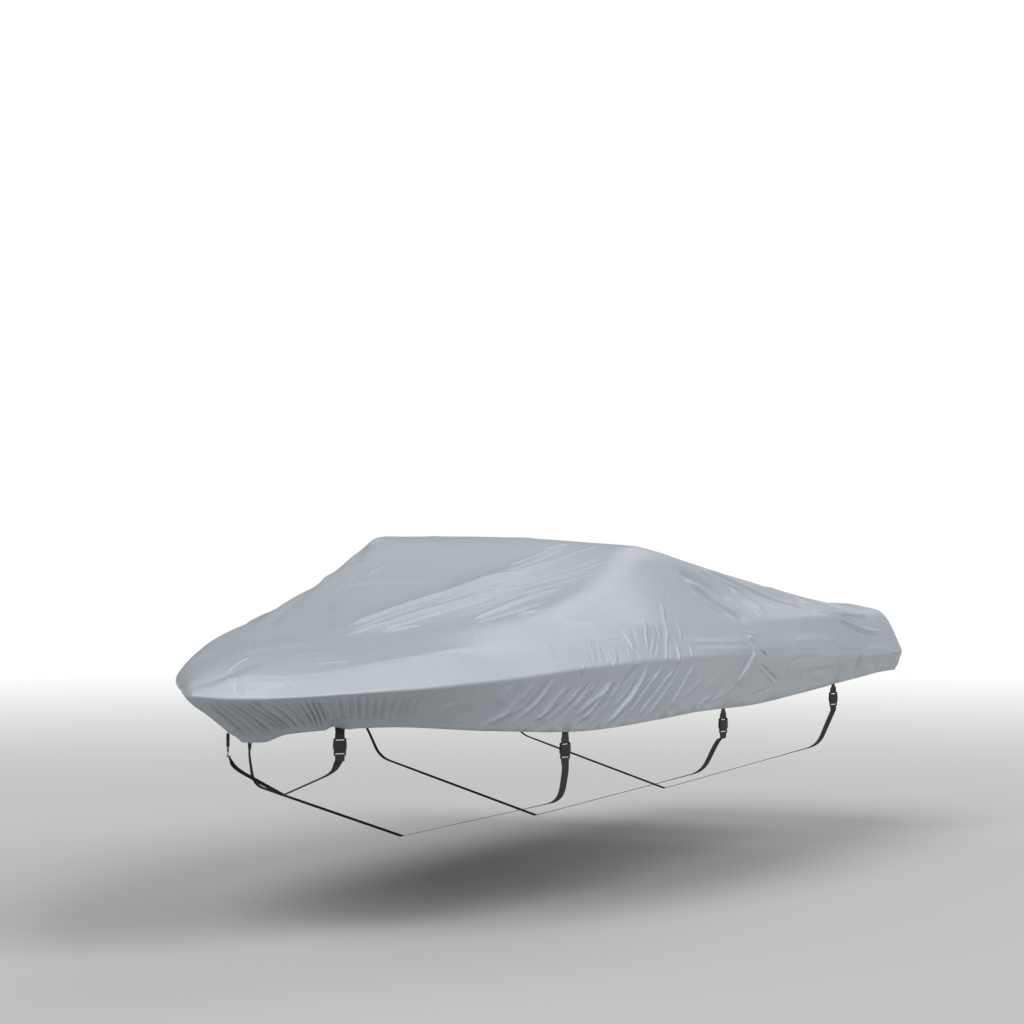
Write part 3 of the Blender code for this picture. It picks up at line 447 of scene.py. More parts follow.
# Folds from the windscreen aft, the pull at the third strap, and the last of the skirt.
PORT_AFT_FOLDS = (
    (2.86, 0.68, 3.05, 0.76, 3.25, 0.87, 0.019, 0.0203),
    (2.98, 0.70, 3.10, 0.79, 3.27, 0.88, 0.012, -0.0116),
    (2.86, 0.66, 3.15, 0.69, 3.34, 0.78, 0.018, -0.0107),
    (3.43, 0.70, 3.55, 0.75, 3.56, 0.83, 0.031, 0.0077),
    (3.41, 0.75, 3.46, 0.82, 3.47, 0.85, 0.020, -0.0052),
    (2.87, 0.73, 2.98, 0.79, 3.10, 0.84, 0.013, 0.0064),
    (3.27, 0.59, 3.76, 0.68, 4.22, 0.78, 0.013, 0.0112),
    (3.58, 0.57, 3.96, 0.65, 4.46, 0.71, 0.025, -0.0129),
    (4.21, 0.77, 4.46, 0.81, 5.06, 0.81, 0.017, 0.0113),
    (3.17, 0.62, 3.53, 0.69, 3.81, 0.81, 0.011, -0.0065),
    (4.09, 0.59, 4.59, 0.64, 4.97, 0.76, 0.014, 0.0081),
    (4.46, 0.83, 4.77, 0.88, 5.17, 0.90, 0.009, 0.0104),
    (4.46, 0.85, 4.74, 0.90, 5.13, 0.92, 0.008, -0.0070),
    (4.60, 0.83, 4.77, 0.82, 4.88, 0.84, 0.008, -0.0065),
    (3.68, 0.96, 4.00, 0.95, 4.37, 0.95, 0.018, 0.0041),
    (2.48, 0.94, 2.81, 0.95, 3.20, 0.96, 0.013, 0.0031),
    (2.52, 0.98, 2.81, 0.98, 3.14, 0.99, 0.010, 0.0023),
    (3.19, 0.92, 3.30, 0.93, 3.35, 0.94, 0.006, 0.0041),
    (3.18, 0.95, 3.28, 0.97, 3.36, 1.11, 0.009, 0.0088),
    (3.20, 0.98, 3.27, 0.99, 3.35, 1.14, 0.006, -0.0047),
    (3.20, 0.98, 3.14, 1.19, 3.02, 1.59, 0.011, 0.0122),
    (3.21, 0.99, 3.21, 1.10, 3.20, 1.21, 0.012, -0.0095),
    (3.28, 1.23, 3.41, 1.41, 3.56, 1.63, 0.006, -0.0048),
    (3.27, 1.29, 3.39, 1.46, 3.53, 1.69, 0.006, 0.0035),
    (3.02, 1.56, 2.94, 1.70, 2.82, 1.80, 0.007, 0.0054),
    (3.52, 1.66, 3.39, 1.76, 3.23, 1.81, 0.008, -0.0037),
    (2.93, 1.63, 2.83, 1.79, 2.73, 1.87, 0.006, 0.0047),
    (2.66, 1.96, 2.69, 1.83, 2.78, 1.77, 0.006, 0.0069),
    (2.71, 1.97, 2.74, 1.89, 2.81, 1.81, 0.006, -0.0044),
    (3.62, 1.26, 3.82, 1.16, 4.10, 1.13, 0.019, -0.0033),
    (3.74, 1.49, 4.00, 1.37, 4.34, 1.39, 0.019, 0.0033),
    (4.65, 1.21, 4.67, 1.54, 4.64, 1.90, 0.034, -0.0125),
    (4.73, 0.99, 5.07, 0.98, 5.38, 1.03, 0.007, 0.0049),
)
# The form of a fold: where its ends die away, how sharp its crest is and how far it leans.
FOLD_PIECES = 12
FOLD_ENDS = 0.22
LONGEST_END = 0.12
SWELL_ENDS = 0.38
FOLD_REACH = 3.2
FOLD_UNDERCUT = 0.35
FOLD_LEAN = 0.25
FOLD_CREST = 0.30
SWELL_CREST = 1.2
CREST_POWER = 0.7

# The starboard side is folded in the same way as the port side but never in just the same places.
LIKE_FOLDS_SHIFT = 0.10
LIKE_FOLDS_LIFT = (0.55, 1.10)

# Small stray folds lie along the pull of the cloth, in each part of the cover.
STRAY_COLUMNS = (
    "round_from", "round_to", "down_from", "down_to", "count", "run_round", "run_down", "width", "height")
STRAY_FOLDS = (
    (0.90, 2.30, 0.10, 0.50, 12, 0.40, 0.11, 0.012, 0.0010),
    (0.30, 0.90, 0.30, 0.70, 8, 0.25, 0.03, 0.016, 0.0010),
    (1.50, 2.60, 0.86, 0.96, 12, -0.03, 0.10, 0.008, 0.0026),
    (0.50, 1.40, 1.42, 1.75, 12, -0.04, 0.40, 0.014, 0.0024),
    (1.30, 2.60, 1.40, 1.80, 26, -0.14, 0.45, 0.010, 0.0034),
    (2.60, 3.20, 1.40, 1.80, 7, -0.12, 0.35, 0.018, 0.0024),
    (2.80, 4.60, 0.55, 0.85, 8, 0.45, 0.06, 0.020, 0.0020),
    (3.30, 5.00, 1.40, 1.80, 6, 0.25, 0.15, 0.030, 0.0024),
    (5.05, 5.35, 1.40, 1.75, 5, -0.04, 0.40, 0.014, 0.0034),
    (5.30, 6.32, 1.40, 1.80, 10, 0.05, 0.40, 0.020, 0.0040),
    (5.30, 6.32, 0.40, 0.85, 8, 0.10, 0.30, 0.030, 0.0036),
    (2.80, 5.00, 0.05, 0.45, 8, 0.60, 0.06, 0.050, 0.0024),
)
STRAY_SPREAD = 0.45
STRAY_BOW = 0.15
STRAY_SEED = 11


def on_half(grid, places, round_, down):
    """Points of one half's smooth cloth, at distances round the gunwale and ways down."""
    deck = np.linspace(0, 1, DECK_ROWS + 1)
    downs = np.concatenate([deck, 1 + np.arange(1, SKIRT_ROWS + 1) / SKIRT_ROWS])
    at_round = np.interp(round_, places, np.arange(len(places)))
    at_down = np.interp(down, downs, np.arange(len(downs)))
    i = np.minimum(at_round.astype(int), len(places) - 2)
    j = np.minimum(at_down.astype(int), len(downs) - 2)
    s = (at_round - i)[:, None]
    t = (at_down - j)[:, None]
    near = grid[i, j] * (1 - t) + grid[i, j + 1] * t
    far = grid[i + 1, j] * (1 - t) + grid[i + 1, j + 1] * t
    return near * (1 - s) + far * s


def eased_step(value, start, end):
    """0 before start, 1 after end, and a soft step between."""
    t = np.clip((value - start) / (end - start), 0, 1)
    return t * t * (3 - 2 * t)


def fold_line(fold, side, halves, places):
    """Points of a fold's crest on the smooth cloth: a parabola through its three places."""
    t = np.linspace(0, 1, FOLD_PIECES + 1)
    first, middle, last = (1 - t) * (1 - 2 * t), 4 * t * (1 - t), t * (2 * t - 1)
    round_ = first * fold["round_a"] + middle * fold["round_b"] + last * fold["round_c"]
    down = first * fold["down_a"] + middle * fold["down_b"] + last * fold["down_c"]
    at = (np.clip(np.abs(round_), 0, HALF_ROUND), np.clip(np.abs(down), 0, 2))
    here, beyond = (on_half(halves[half], places, *at) for half in (side, -side))
    return np.where(((round_ < 0) | (down < 0))[:, None], beyond, here)


def press_fold(lift, points, normals, line, width, height, lean, crest=FOLD_CREST, end=FOLD_ENDS):
    """Adds one fold to the cloth's lift: a ridge that is steeper on one flank and dies away at its ends."""
    reach = FOLD_REACH * width
    inside = np.all((points > line.min(0) - reach) & (points < line.max(0) + reach), axis=1)
    near = np.flatnonzero(inside)
    if not len(near):
        return
    starts, runs = line[:-1], np.diff(line, axis=0)
    lengths = np.linalg.norm(runs, axis=1)
    offset = points[near][:, None] - starts[None]
    along = np.clip(np.sum(offset * runs, axis=2) / lengths ** 2, 0, 1)
    gap = offset - along[..., None] * runs
    away = np.linalg.norm(gap, axis=2)
    which = np.argmin(away, axis=1)
    pick = np.arange(len(near))
    flank = np.sign(np.sum(np.cross(runs[which], normals[near]) * gap[pick, which], axis=1))
    run_before = length_along(line)
    part = (run_before[which] + along[pick, which] * lengths[which]) / run_before[-1]
    end = end if end > FOLD_ENDS else min(end, LONGEST_END / run_before[-1])
    ends = eased_step(part, 0, end) * eased_step(1 - part, 0, end)
    across = (away[pick, which] / (width * (1 + lean * flank))) ** 2
    profile = np.exp(crest ** (2 * CREST_POWER) - (across + crest ** 2) ** CREST_POWER)
    lift[near] += height * (1 - FOLD_UNDERCUT * across) * profile * ends


def like_folds(folds, rng):
    """A set of folds for starboard, moved and made higher or lower at random."""
    made = []
    for round_a, down_a, round_b, down_b, round_c, down_c, width, height in folds:
        shift = rng.uniform(-LIKE_FOLDS_SHIFT, LIKE_FOLDS_SHIFT)
        height *= rng.uniform(*LIKE_FOLDS_LIFT)
        made.append((
            round_a + shift, down_a, round_b + shift, down_b, round_c + shift, down_c, width, height))
    return made


def pleat_folds(rng):
    """The pleats of one side, each a little out of its even place and longer or shorter."""
    made = []
    for part in named(PLEAT_COLUMNS, PLEATS):
        for k in range(part["count"]):
            along = (k + rng.uniform(-PLEAT_SHIFT, PLEAT_SHIFT)) / part["count"]
            top = part["top_from"] + (part["top_to"] - part["top_from"]) * along
            hem = part["hem_from"] + (part["hem_to"] - part["hem_from"]) * along
            down_top = part["down_top"] + rng.uniform(0, PLEAT_DROP)
            down_hem = part["down_hem"] - rng.uniform(0, PLEAT_DROP)
            height = part["height"] * rng.uniform(*PLEAT_HEIGHT_PART) * (-1) ** k
            width = part["width"] * rng.uniform(*PLEAT_WIDTH_PART)
            middle = (top + hem) / 2, (down_top + down_hem) / 2
            made.append((top, down_top, *middle, hem, down_hem, width, height))
    return made


def stray_folds(rng):
    """Small folds for one side, each at a random place in its part of the cover."""
    made = []
    for part in named(STRAY_COLUMNS, STRAY_FOLDS):
        for _ in range(part["count"]):
            round_ = rng.uniform(part["round_from"], part["round_to"])
            down = rng.uniform(part["down_from"], part["down_to"])
            size = rng.uniform(1 - STRAY_SPREAD, 1 + STRAY_SPREAD, 4)
            run_round = part["run_round"] * size[0]
            run_down = part["run_down"] * size[1]
            bow = rng.uniform(-STRAY_BOW, STRAY_BOW) * run_round
            height = part["height"] * size[3] * rng.choice([-1, 1])
            made.append((
                round_ - run_round / 2, down - run_down / 2, round_ + bow, down,
                round_ + run_round / 2, down + run_down / 2, part["width"] * size[2], height))
    return made


def quads(grid, side):
    """Corners of each four-sided face of one half's grid, in the order that faces outward."""
    ring = np.stack([grid[:-1, :-1], grid[:-1, 1:], grid[1:, 1:], grid[1:, :-1]], 2)
    ring = ring.reshape(-1, *ring.shape[2:])
    return ring if side == PORT else ring[:, ::-1]


def whole_sheet(places, halves):
    """Points, faces, cut places and grids of two halves that share the middle line, nose and stern."""
    rows = DECK_ROWS + SKIRT_ROWS + 1
    port, starboard = halves[PORT].copy(), halves[STARBOARD]
    port[[0, -1]] = (port[[0, -1]] + starboard[[0, -1]]) / 2
    port[:, 0] = (port[:, 0] + starboard[:, 0]) / 2
    port_index = np.arange(len(places) * rows).reshape(len(places), rows)
    own = np.ones(port_index.shape, bool)
    own[[0, -1]] = False
    own[:, 0] = False
    starboard_index = port_index.copy()
    starboard_index[own] = port_index.size + np.arange(own.sum())
    points = np.concatenate([port.reshape(-1, 3), starboard[own]])
    faces, cut = [], []
    grids = {PORT: port_index, STARBOARD: starboard_index}
    for side, index in grids.items():
        steps = np.linalg.norm(np.diff(halves[side], axis=1), axis=2)
        above_hem = np.concatenate([np.cumsum(steps[:, ::-1], axis=1)[:, ::-1], 0 * steps[:, :1]], 1)
        round_ = np.broadcast_to(side * places[:, None], above_hem.shape)
        on_cut = np.stack([round_, above_hem], -1)
        faces.append(quads(index, side))
        cut.append(quads(on_cut, side))
    return points, np.concatenate(faces), np.concatenate(cut), grids


HEM_THICKNESS = 0.0028
HEM_HEIGHT = 0.028
HEM_ROWS = 6
HEM_SEWN_IN = 0.6


def turn_in_hem(points, faces, cut, grids, places):
    """The sheet with its hem turned in: a strip that goes round the edge and back up behind the cloth."""
    normals = point_normals(points, faces)
    heights = np.linspace(0, HEM_HEIGHT, HEM_ROWS)
    held_off = HEM_THICKNESS * (1 - HEM_SEWN_IN * (heights / HEM_HEIGHT) ** 2)
    shared = None
    for side, grid in grids.items():
        up = grid[:, ::-1]
        column = points[up[:, :SKIRT_ROWS]]
        row_step = np.linalg.norm(np.diff(column, axis=1), axis=2).mean(1)
        at = heights / row_step[:, None]
        low = at.astype(int)
        pick = np.arange(len(up))[:, None]
        part = (at - low)[..., None]
        outer = column[pick, low] * (1 - part) + column[pick, low + 1] * part
        away = unit(normals[up[pick, low]] * (1 - part) + normals[up[pick, low + 1]] * part)
        behind = outer - away * held_off[:, None]
        downward = unit(column[:, 0] - column[:, 2])
        edge = (outer[:, 0] + behind[:, 0] + downward * HEM_THICKNESS) / 2
        strip = np.concatenate([edge[:, None], behind], 1)
        index = len(points) + np.arange(strip[..., 0].size).reshape(strip.shape[:2])
        if shared is not None:
            index[[0, -1]] = shared
        shared = index[[0, -1]]
        points = np.concatenate([points, strip.reshape(-1, 3)])
        index = np.concatenate([up[:, :1], index], 1)
        above_hem = np.broadcast_to(np.concatenate([[0, 0], heights]), index.shape)
        on_cut = np.stack([np.broadcast_to(side * places[:, None], index.shape), above_hem], -1)
        faces = np.concatenate([faces, quads(index, side)])
        cut = np.concatenate([cut, quads(on_cut, side)])
    return points, faces, cut


def point_normals(points, faces):
    """Unit normal at each point, from the faces round it."""
    corner = points[faces]
    face_normal = np.cross(corner[:, 2] - corner[:, 0], corner[:, 3] - corner[:, 1])
    total = np.zeros_like(points)
    for i in range(4):
        np.add.at(total, faces[:, i], face_normal)
    return unit(total)


def fold_cloth(points, faces, places, halves):
    """The sheet with every fold pressed in."""
    normals = point_normals(points, faces)
    lift = np.zeros(len(points))
    rng = np.random.default_rng(STRAY_SEED)
    alike = PORT_GATHERS + PORT_DRAPES + PORT_AFT_FOLDS
    own = {
        PORT: list(PORT_STRETCH + NOSE_FOLDS + alike),
        STARBOARD: list(STARBOARD_STRETCH) + like_folds(alike, rng),
    }
    for side, folds in own.items():
        small = folds + pleat_folds(rng) + stray_folds(rng)
        swells = SWELLS + (PORT_SWELLS if side == PORT else ())
        for rows, form in ((small, (side * FOLD_LEAN,)), (swells, (0, SWELL_CREST, SWELL_ENDS))):
            for fold in named(FOLD_COLUMNS, rows):
                line = fold_line(fold, side, halves, places)
                press_fold(lift, points, normals, line, fold["width"], fold["height"], *form)
    return points + normals * lift[:, None]


# Where a tab of webbing is sewn inside the hem, the cloth lies flat on it.
STRAP_COLUMNS = ("round", "turn", "side_y", "side_z", "chine_y", "chine_z", "keel_z")
STRAPS = (
    (0.57, 0, 0.248, 0.730, 0.225, 0.685, 0.590),
    (1.69, 8, 0.757, 0.640, 0.735, 0.520, 0.340),
    (2.95, 16, 0.905, 0.690, 0.830, 0.545, 0.310),
    (4.40, 24, 0.893, 0.700, 0.830, 0.560, 0.310),
)
WEBBING_WIDTH = 0.038
WEBBING_THICKNESS = 0.0016
SEWN_LENGTH = 0.050
TAB_DROP = 0.040
BELOW_HEM = 0.006
BAR_HALF = 0.00155
SLOT_LENGTH = 0.006
PLUG_SLOT_START = 0.056
PLUG_BAR_AT = PLUG_SLOT_START + SLOT_LENGTH + BAR_HALF
SEWN_GAP = 0.0004
FLAT_HALF_WIDTH = (0.023, 0.055)
FLAT_HEIGHT = (0.056, 0.095)
FLAT_REACH = 0.06


def hanging_axes(down, toward):
    """Across, down and facing directions of a strap that hangs along down and faces toward."""
    facing = unit(toward - down * np.dot(toward, down))
    return np.cross(down, facing), down, facing


def strap_place(station, side, name):
    """Axes of the sewn part and of the buckle, the middle of the socket's bar, and of the tab at the hem."""
    round_ = station["round"] + NORMAL_STEP * np.array([-1, 0, 1])
    corners = section_corners(round_, side)
    gunwale, hem = corners[1, 3:5]
    run_x, run_y, _ = corners[2, 4] - corners[0, 4]
    off_hem = side * np.array([-run_y, run_x, 0])
    out_x, out_y = (part[1] for part in outward(round_))
    away = np.array([out_x, side * out_y, 0])
    turn = math.radians(station["turn"])
    turned = away * math.cos(turn) + np.array([-1, 0, 0]) * math.sin(turn)
    sewn = hanging_axes(unit(hem - gunwale), off_hem)
    buckle = hanging_axes(np.array([0, 0, -1]), turned)
    corners = np.array([vertex.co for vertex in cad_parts["socket_" + name].data.vertices])
    low, high = (corners @ np.array(buckle).T).min(0), (corners @ np.array(buckle).T).max(0)
    middle = (low + high) / 2
    bar = np.array(buckle).T @ np.array([middle[0], low[1] + BAR_HALF, middle[2]]) + REST
    seat = bar - buckle[1] * TAB_DROP - sewn[1] * BELOW_HEM
    return {"sewn": sewn, "buckle": buckle, "bar": bar, "seat": seat}


strap_places = {}
for number, station in enumerate(named(STRAP_COLUMNS, STRAPS), 1):
    for side, side_name in SIDE_NAMES.items():
        name = f"{side_name}_{number}"
        strap_places[name] = strap_place(station, side, name)


def press_flat_on_tabs(points):
    """The cloth laid flat where a tab is sewn inside it, and eased back to its own folds around."""
    for place in strap_places.values():
        across, down, facing = place["sewn"]
        offset = points - place["seat"]
        beside = np.abs(offset @ across)
        above = -(offset @ down)
        out = offset @ facing
        flat = 1 - eased_step(beside, *FLAT_HALF_WIDTH)
        flat *= (1 - eased_step(above, *FLAT_HEIGHT)) * (above > -FLAT_REACH) * (np.abs(out) < FLAT_REACH)
        wanted = WEBBING_THICKNESS / 2 + SEWN_GAP + HEM_THICKNESS
        points = points + facing * ((wanted - out) * flat)[:, None]
    return points


def only(thing):
    """Selects one object and makes it active."""
    bpy.ops.object.select_all(action="DESELECT")
    thing.select_set(True)
    bpy.context.view_layer.objects.active = thing


def finish_modifiers(thing):
    """Applies the object's modifiers in their order."""
    only(thing)
    for modifier in list(thing.modifiers):
        bpy.ops.object.modifier_apply(modifier=modifier.name)


CLOTH_TRIANGLES = 196000
SHARP_BEND = 110.0


def mark_bends(mesh):
    """Keeps how sharply the cloth bends at each point, from -1 in a tight crease to 1 on a tight crest."""
    points, normals = np.zeros((2, len(mesh.vertices), 3))
    mesh.vertices.foreach_get("co", points.reshape(-1))
    mesh.vertex_normals.foreach_get("vector", normals.reshape(-1))
    edges = np.zeros((len(mesh.edges), 2), int)
    mesh.edges.foreach_get("vertices", edges.reshape(-1))
    first, second = edges.T
    way = points[second] - points[first]
    value = np.sum((normals[second] - normals[first]) * way, axis=1) / np.sum(way * way, axis=1)
    joined = np.bincount(edges.ravel(), minlength=len(points))
    bend = np.bincount(edges.ravel(), np.repeat(value, 2), len(points)) / joined
    around = np.bincount(first, bend[second], len(points)) + np.bincount(second, bend[first], len(points))
    bend = (bend + around / joined) / 2
    # The cloth's material paints highlight on crests and shade in creases by this value.
    kept = mesh.attributes.new("bend", "FLOAT", "POINT")
    kept.data.foreach_set("value", np.tanh(bend / SHARP_BEND))


def placed(name, data):
    """A new object in the scene, made of a mesh, a lamp or a camera."""
    thing = bpy.data.objects.new(name, data)
    bpy.context.scene.collection.objects.link(thing)
    return thing


def cover_mesh():
    """The cover as a mesh of one layer, with its cut as a UV map in metres."""
    places = section_places()
    halves = {side: smooth_cloth(side, places) for side in (PORT, STARBOARD)}
    points, faces, cut, grids = whole_sheet(places, halves)
    points = press_flat_on_tabs(fold_cloth(points, faces, places, halves))
    points, faces, cut = turn_in_hem(points, faces, cut, grids, places)
    used, faces = np.unique(faces, return_inverse=True)
    faces = faces.reshape(-1, 4)
    mesh = bpy.data.meshes.new("cover")
    mesh.from_pydata((points[used] - REST).tolist(), [], faces.tolist())
    mesh.uv_layers.new(name="cut").data.foreach_set("uv", cut.reshape(-1))
    thing = placed("cover", mesh)
    thinned = thing.modifiers.new("thinned", "DECIMATE")
    thinned.ratio = CLOTH_TRIANGLES / (2 * len(faces))
    finish_modifiers(thing)
    bpy.ops.object.shade_smooth()
    mark_bends(thing.data)
    return thing


class Field:
    """A value that varies over a surface; sums and products of it add the nodes that work them out."""

    def __init__(self, tree, output):
        self.tree = tree
        self.output = output

    def maths(self, operation, first, second=0.0):
        made = self.tree.nodes.new("ShaderNodeMath")
        made.operation = operation
        for socket, value in zip(made.inputs, (first, second)):
            feed(socket, value)
        return Field(self.tree, made.outputs[0])

    def __add__(self, other):
        return self.maths("ADD", self, other)

    def __sub__(self, other):
        return self.maths("SUBTRACT", self, other)

    def __rsub__(self, other):
        return self.maths("SUBTRACT", other, self)

    def __mul__(self, other):
        return self.maths("MULTIPLY", self, other)

    def __lt__(self, other):
        return self.maths("LESS_THAN", self, other)

    def __gt__(self, other):
        return self.maths("GREATER_THAN", self, other)

    def __mod__(self, other):
        return self.maths("FLOORED_MODULO", self, other)

    def wave(self):
        return self.maths("SINE", self)

    __radd__ = __add__
    __rmul__ = __mul__


def feed(socket, value):
    """Gives a socket a number, a colour or another node's output."""
    if isinstance(value, Field):
        value.tree.links.new(value.output, socket)
    else:
        socket.default_value = value


class Finish:
    """A material of one Principled surface, and the nodes behind it."""

    def __init__(self, name):
        self.material = bpy.data.materials.new(name)
        self.material.use_nodes = True
        self.tree = self.material.node_tree
        self.surface = self.tree.nodes["Principled BSDF"]

    def node(self, kind, settings=None, inputs=None, output=0):
        """A node of any kind: its settings first, then the values or links of its sockets."""
        made = self.tree.nodes.new(kind)
        for name, value in (settings or {}).items():
            setattr(made, name, value)
        for name, value in (inputs or {}).items():
            feed(made.inputs[name], value)
        return Field(self.tree, made.outputs[output])

    def give(self, **values):
        """Gives the surface's own sockets their numbers, colours or fields."""
        for socket, value in values.items():
            feed(self.surface.inputs[socket.replace("_", " ")], value)

    def where(self):
        """Place on the object, in metres."""
        return self.node("ShaderNodeTexCoord", output=3)

    def parts(self, vector, count=3):
        """The first values of a vector, each as a field."""
        return [self.node("ShaderNodeSeparateXYZ", {}, {"Vector": vector}, k) for k in range(count)]

    def noise(self, where, scale, detail, roughness=0.5):
        """Even noise from 0 to 1."""
        inputs = {"Vector": where, "Scale": scale, "Detail": detail, "Roughness": roughness}
        return self.node("ShaderNodeTexNoise", {}, inputs)

    def blend(self, factor, first, second):
        """Colour between two colours."""
        made = self.tree.nodes.new("ShaderNodeMix")
        made.data_type = "RGBA"
        feed(made.inputs[0], factor)
        feed(made.inputs[6], first)
        feed(made.inputs[7], second)
        return Field(self.tree, made.outputs[2])

    def bump(self, height, distance, strength, normal=None):
        """Normal bent by a height in the given distance."""
        inputs = {"Height": height, "Distance": distance, "Strength": strength}
        if normal:
            inputs["Normal"] = normal
        return self.node("ShaderNodeBump", {}, inputs)


CLOTH_COLOUR = (0.352, 0.389, 0.420, 1)
CLOTH_PALE = (0.408, 0.446, 0.476, 1)
CLOTH_DEEP = (0.312, 0.348, 0.378, 1)
# Painted highlight laid on the crests of the folds, and painted shade laid in their creases.
PAINTED_CREST_HIGHLIGHT = (0.520, 0.550, 0.575, 1)
PAINTED_CREASE_SHADE = (0.200, 0.228, 0.252, 1)
THREAD_COLOUR = (0.50, 0.54, 0.57, 1)
WEAVE_PITCH = 0.0011
STITCH_LINES = (0.0215, 0.0255)
STITCH_PITCH = 0.0052
STITCH_PART = 0.68
STITCH_WIDTH = 0.0010
CREST_HIGHLIGHT_SHARE = 0.35
CREASE_SHADE_SHARE = 0.45
FADE_NOISE = (1.6, 3.0)
PATCH_NOISE = (9.0, 4.0, 0.6)
PATCH_SHARE = 0.5
PATCH_LEAST = 0.2
CLOTH_SMOOTHEST = 0.36
CLOTH_ROUGHER = 0.10
WEAVE_BUMP = (0.00003, 0.5)
THREAD_BUMP = (0.0004, 0.8)
# The cloth's own unevenness, from broad ripples to a fine crumple.
UNEVEN_COLUMNS = ("scale", "detail", "roughness", "distance", "strength")
UNEVEN = (
    (14.0, 3.0, 0.55, 0.0045, 0.6),
    (48.0, 3.0, 0.60, 0.0009, 0.6),
)


def cloth_finish():
    """Grey polyester with a thin coating: fine weave, soft sheen, small creases with painted highlight on
    their crests and painted shade in their troughs, and a stitched hem.
    """
    finish = Finish("coated_polyester")
    where = finish.where()
    x, y, z = finish.parts(where)
    round_, above_hem = finish.parts(finish.node("ShaderNodeUVMap", {"uv_map": "cut"}), 2)
    turn = 2 * math.pi / WEAVE_PITCH
    threads = [(axis * turn).wave() for axis in (x, y, z)]
    weave = threads[0] * threads[1] + threads[1] * threads[2] + threads[2] * threads[0]
    patch = finish.noise(where, *PATCH_NOISE)
    colour = finish.blend(finish.noise(where, *FADE_NOISE), CLOTH_DEEP, CLOTH_PALE)
    colour = finish.blend(patch * PATCH_SHARE + PATCH_LEAST, colour, CLOTH_COLOUR)
    bend = finish.node("ShaderNodeAttribute", {"attribute_name": "bend"}, output=2)
    # Painted highlight on the crests and painted shade in the creases, by how sharply the cloth bends there.
    colour = finish.blend((bend > 0.0) * bend * CREST_HIGHLIGHT_SHARE, colour, PAINTED_CREST_HIGHLIGHT)
    colour = finish.blend((bend < 0.0) * bend * -CREASE_SHADE_SHARE, colour, PAINTED_CREASE_SHADE)
    stitched = 0.0
    for line in STITCH_LINES:
        off = above_hem - line
        on_line = (off > -STITCH_WIDTH / 2) * (off < STITCH_WIDTH / 2)
        stitched = on_line + stitched
    dash = (round_ % STITCH_PITCH) < STITCH_PITCH * STITCH_PART
    thread = stitched * dash
    normal = None
    for layer in named(UNEVEN_COLUMNS, UNEVEN):
        uneven = finish.noise(where, layer["scale"], layer["detail"], layer["roughness"])
        normal = finish.bump(uneven, layer["distance"], layer["strength"], normal)
    normal = finish.bump(weave, *WEAVE_BUMP, normal)
    finish.give(
        Base_Color=finish.blend(thread, colour, THREAD_COLOUR),
        Roughness=patch * CLOTH_ROUGHER + CLOTH_SMOOTHEST,
        Normal=finish.bump(thread, *THREAD_BUMP, normal),
    )
    return finish.material


cover = cover_mesh()
cover.data.materials.append(cloth_finish())
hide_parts("cover_cloth")
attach(cover, "root")

# ---- Tabs sewn inside the hem ---------------------------------------------------------------------
# Eight short lengths of black 38 mm webbing. Each is sewn flat inside the hem, comes out below it and
# is folded round the bar of a buckle's socket, with its end stitched back on itself.
LOOP_RADIUS = 0.0034
LOOP_STEPS = 12
LOOP_RETURN = 0.022
LOOP_LIFT = 0.0013
LOOP_NECK_AWAY = 0.008
LOOP_NECK_LIFT = 0.0025
TAB_STEP = 0.004
CORNER_STEPS = 9
EDGE_STEPS = 4
FACE_STEPS = 6
WEBBING_COLOUR = (0.0135, 0.0135, 0.0145, 1)
WEBBING_WORN = (0.040, 0.040, 0.043, 1)
RIB_PITCH = 0.0023
RIB_SLANT = 2600
THREAD_PITCH = 0.0016
RIB_BUMP = (0.00022, 0.8)
WEAR_NOISE = (60.0, 3.0)
WEAR_SHARE = 0.35
RIB_SHARE = 0.12
EDGE_SHARE = 0.06
WEBBING_SMOOTHEST = 0.64
WEBBING_ROUGHER = 0.12
SELVEDGE = 0.0028
WEBBING_EDGE_ANGLE = 50


def loop_round_bar(bar, down, facing):
    """Route of a webbing end that is looped round a bar and runs down from it: back leg, turn, front leg."""
    turn = np.linspace(-math.pi / 2, math.pi / 2, LOOP_STEPS + 1)
    legs = ((LOOP_RETURN, LOOP_LIFT), (LOOP_NECK_AWAY, LOOP_NECK_LIFT))
    back = [(away, -lift) for away, lift in legs]
    front = [(away, lift) for away, lift in reversed(legs)]
    bend = [(-LOOP_RADIUS * math.cos(t), LOOP_RADIUS * math.sin(t)) for t in turn]
    return [bar + down * away + facing * lift for away, lift in back + bend + front]


def smoothed(points, reach, step):
    """Route through straight runs, each corner rounded as a parabola, at steps of about the given length."""
    points = [np.asarray(p, float) for p in points]
    route = [points[0]]
    for before, corner, after in zip(points, points[1:], points[2:]):
        back = min(reach, BEND_LIMIT * np.linalg.norm(before - corner))
        ahead = min(reach, BEND_LIMIT * np.linalg.norm(after - corner))
        start = corner + unit(before - corner) * back
        end = corner + unit(after - corner) * ahead
        route += [parabola(start, corner, end, t) for t in np.linspace(0, 1, CORNER_STEPS)]
    route.append(points[-1])
    full = [route[0]]
    for near, far in zip(route, route[1:]):
        count = max(1, round(np.linalg.norm(far - near) / step))
        full += [near + (far - near) * k / count for k in range(1, count + 1)]
    return full


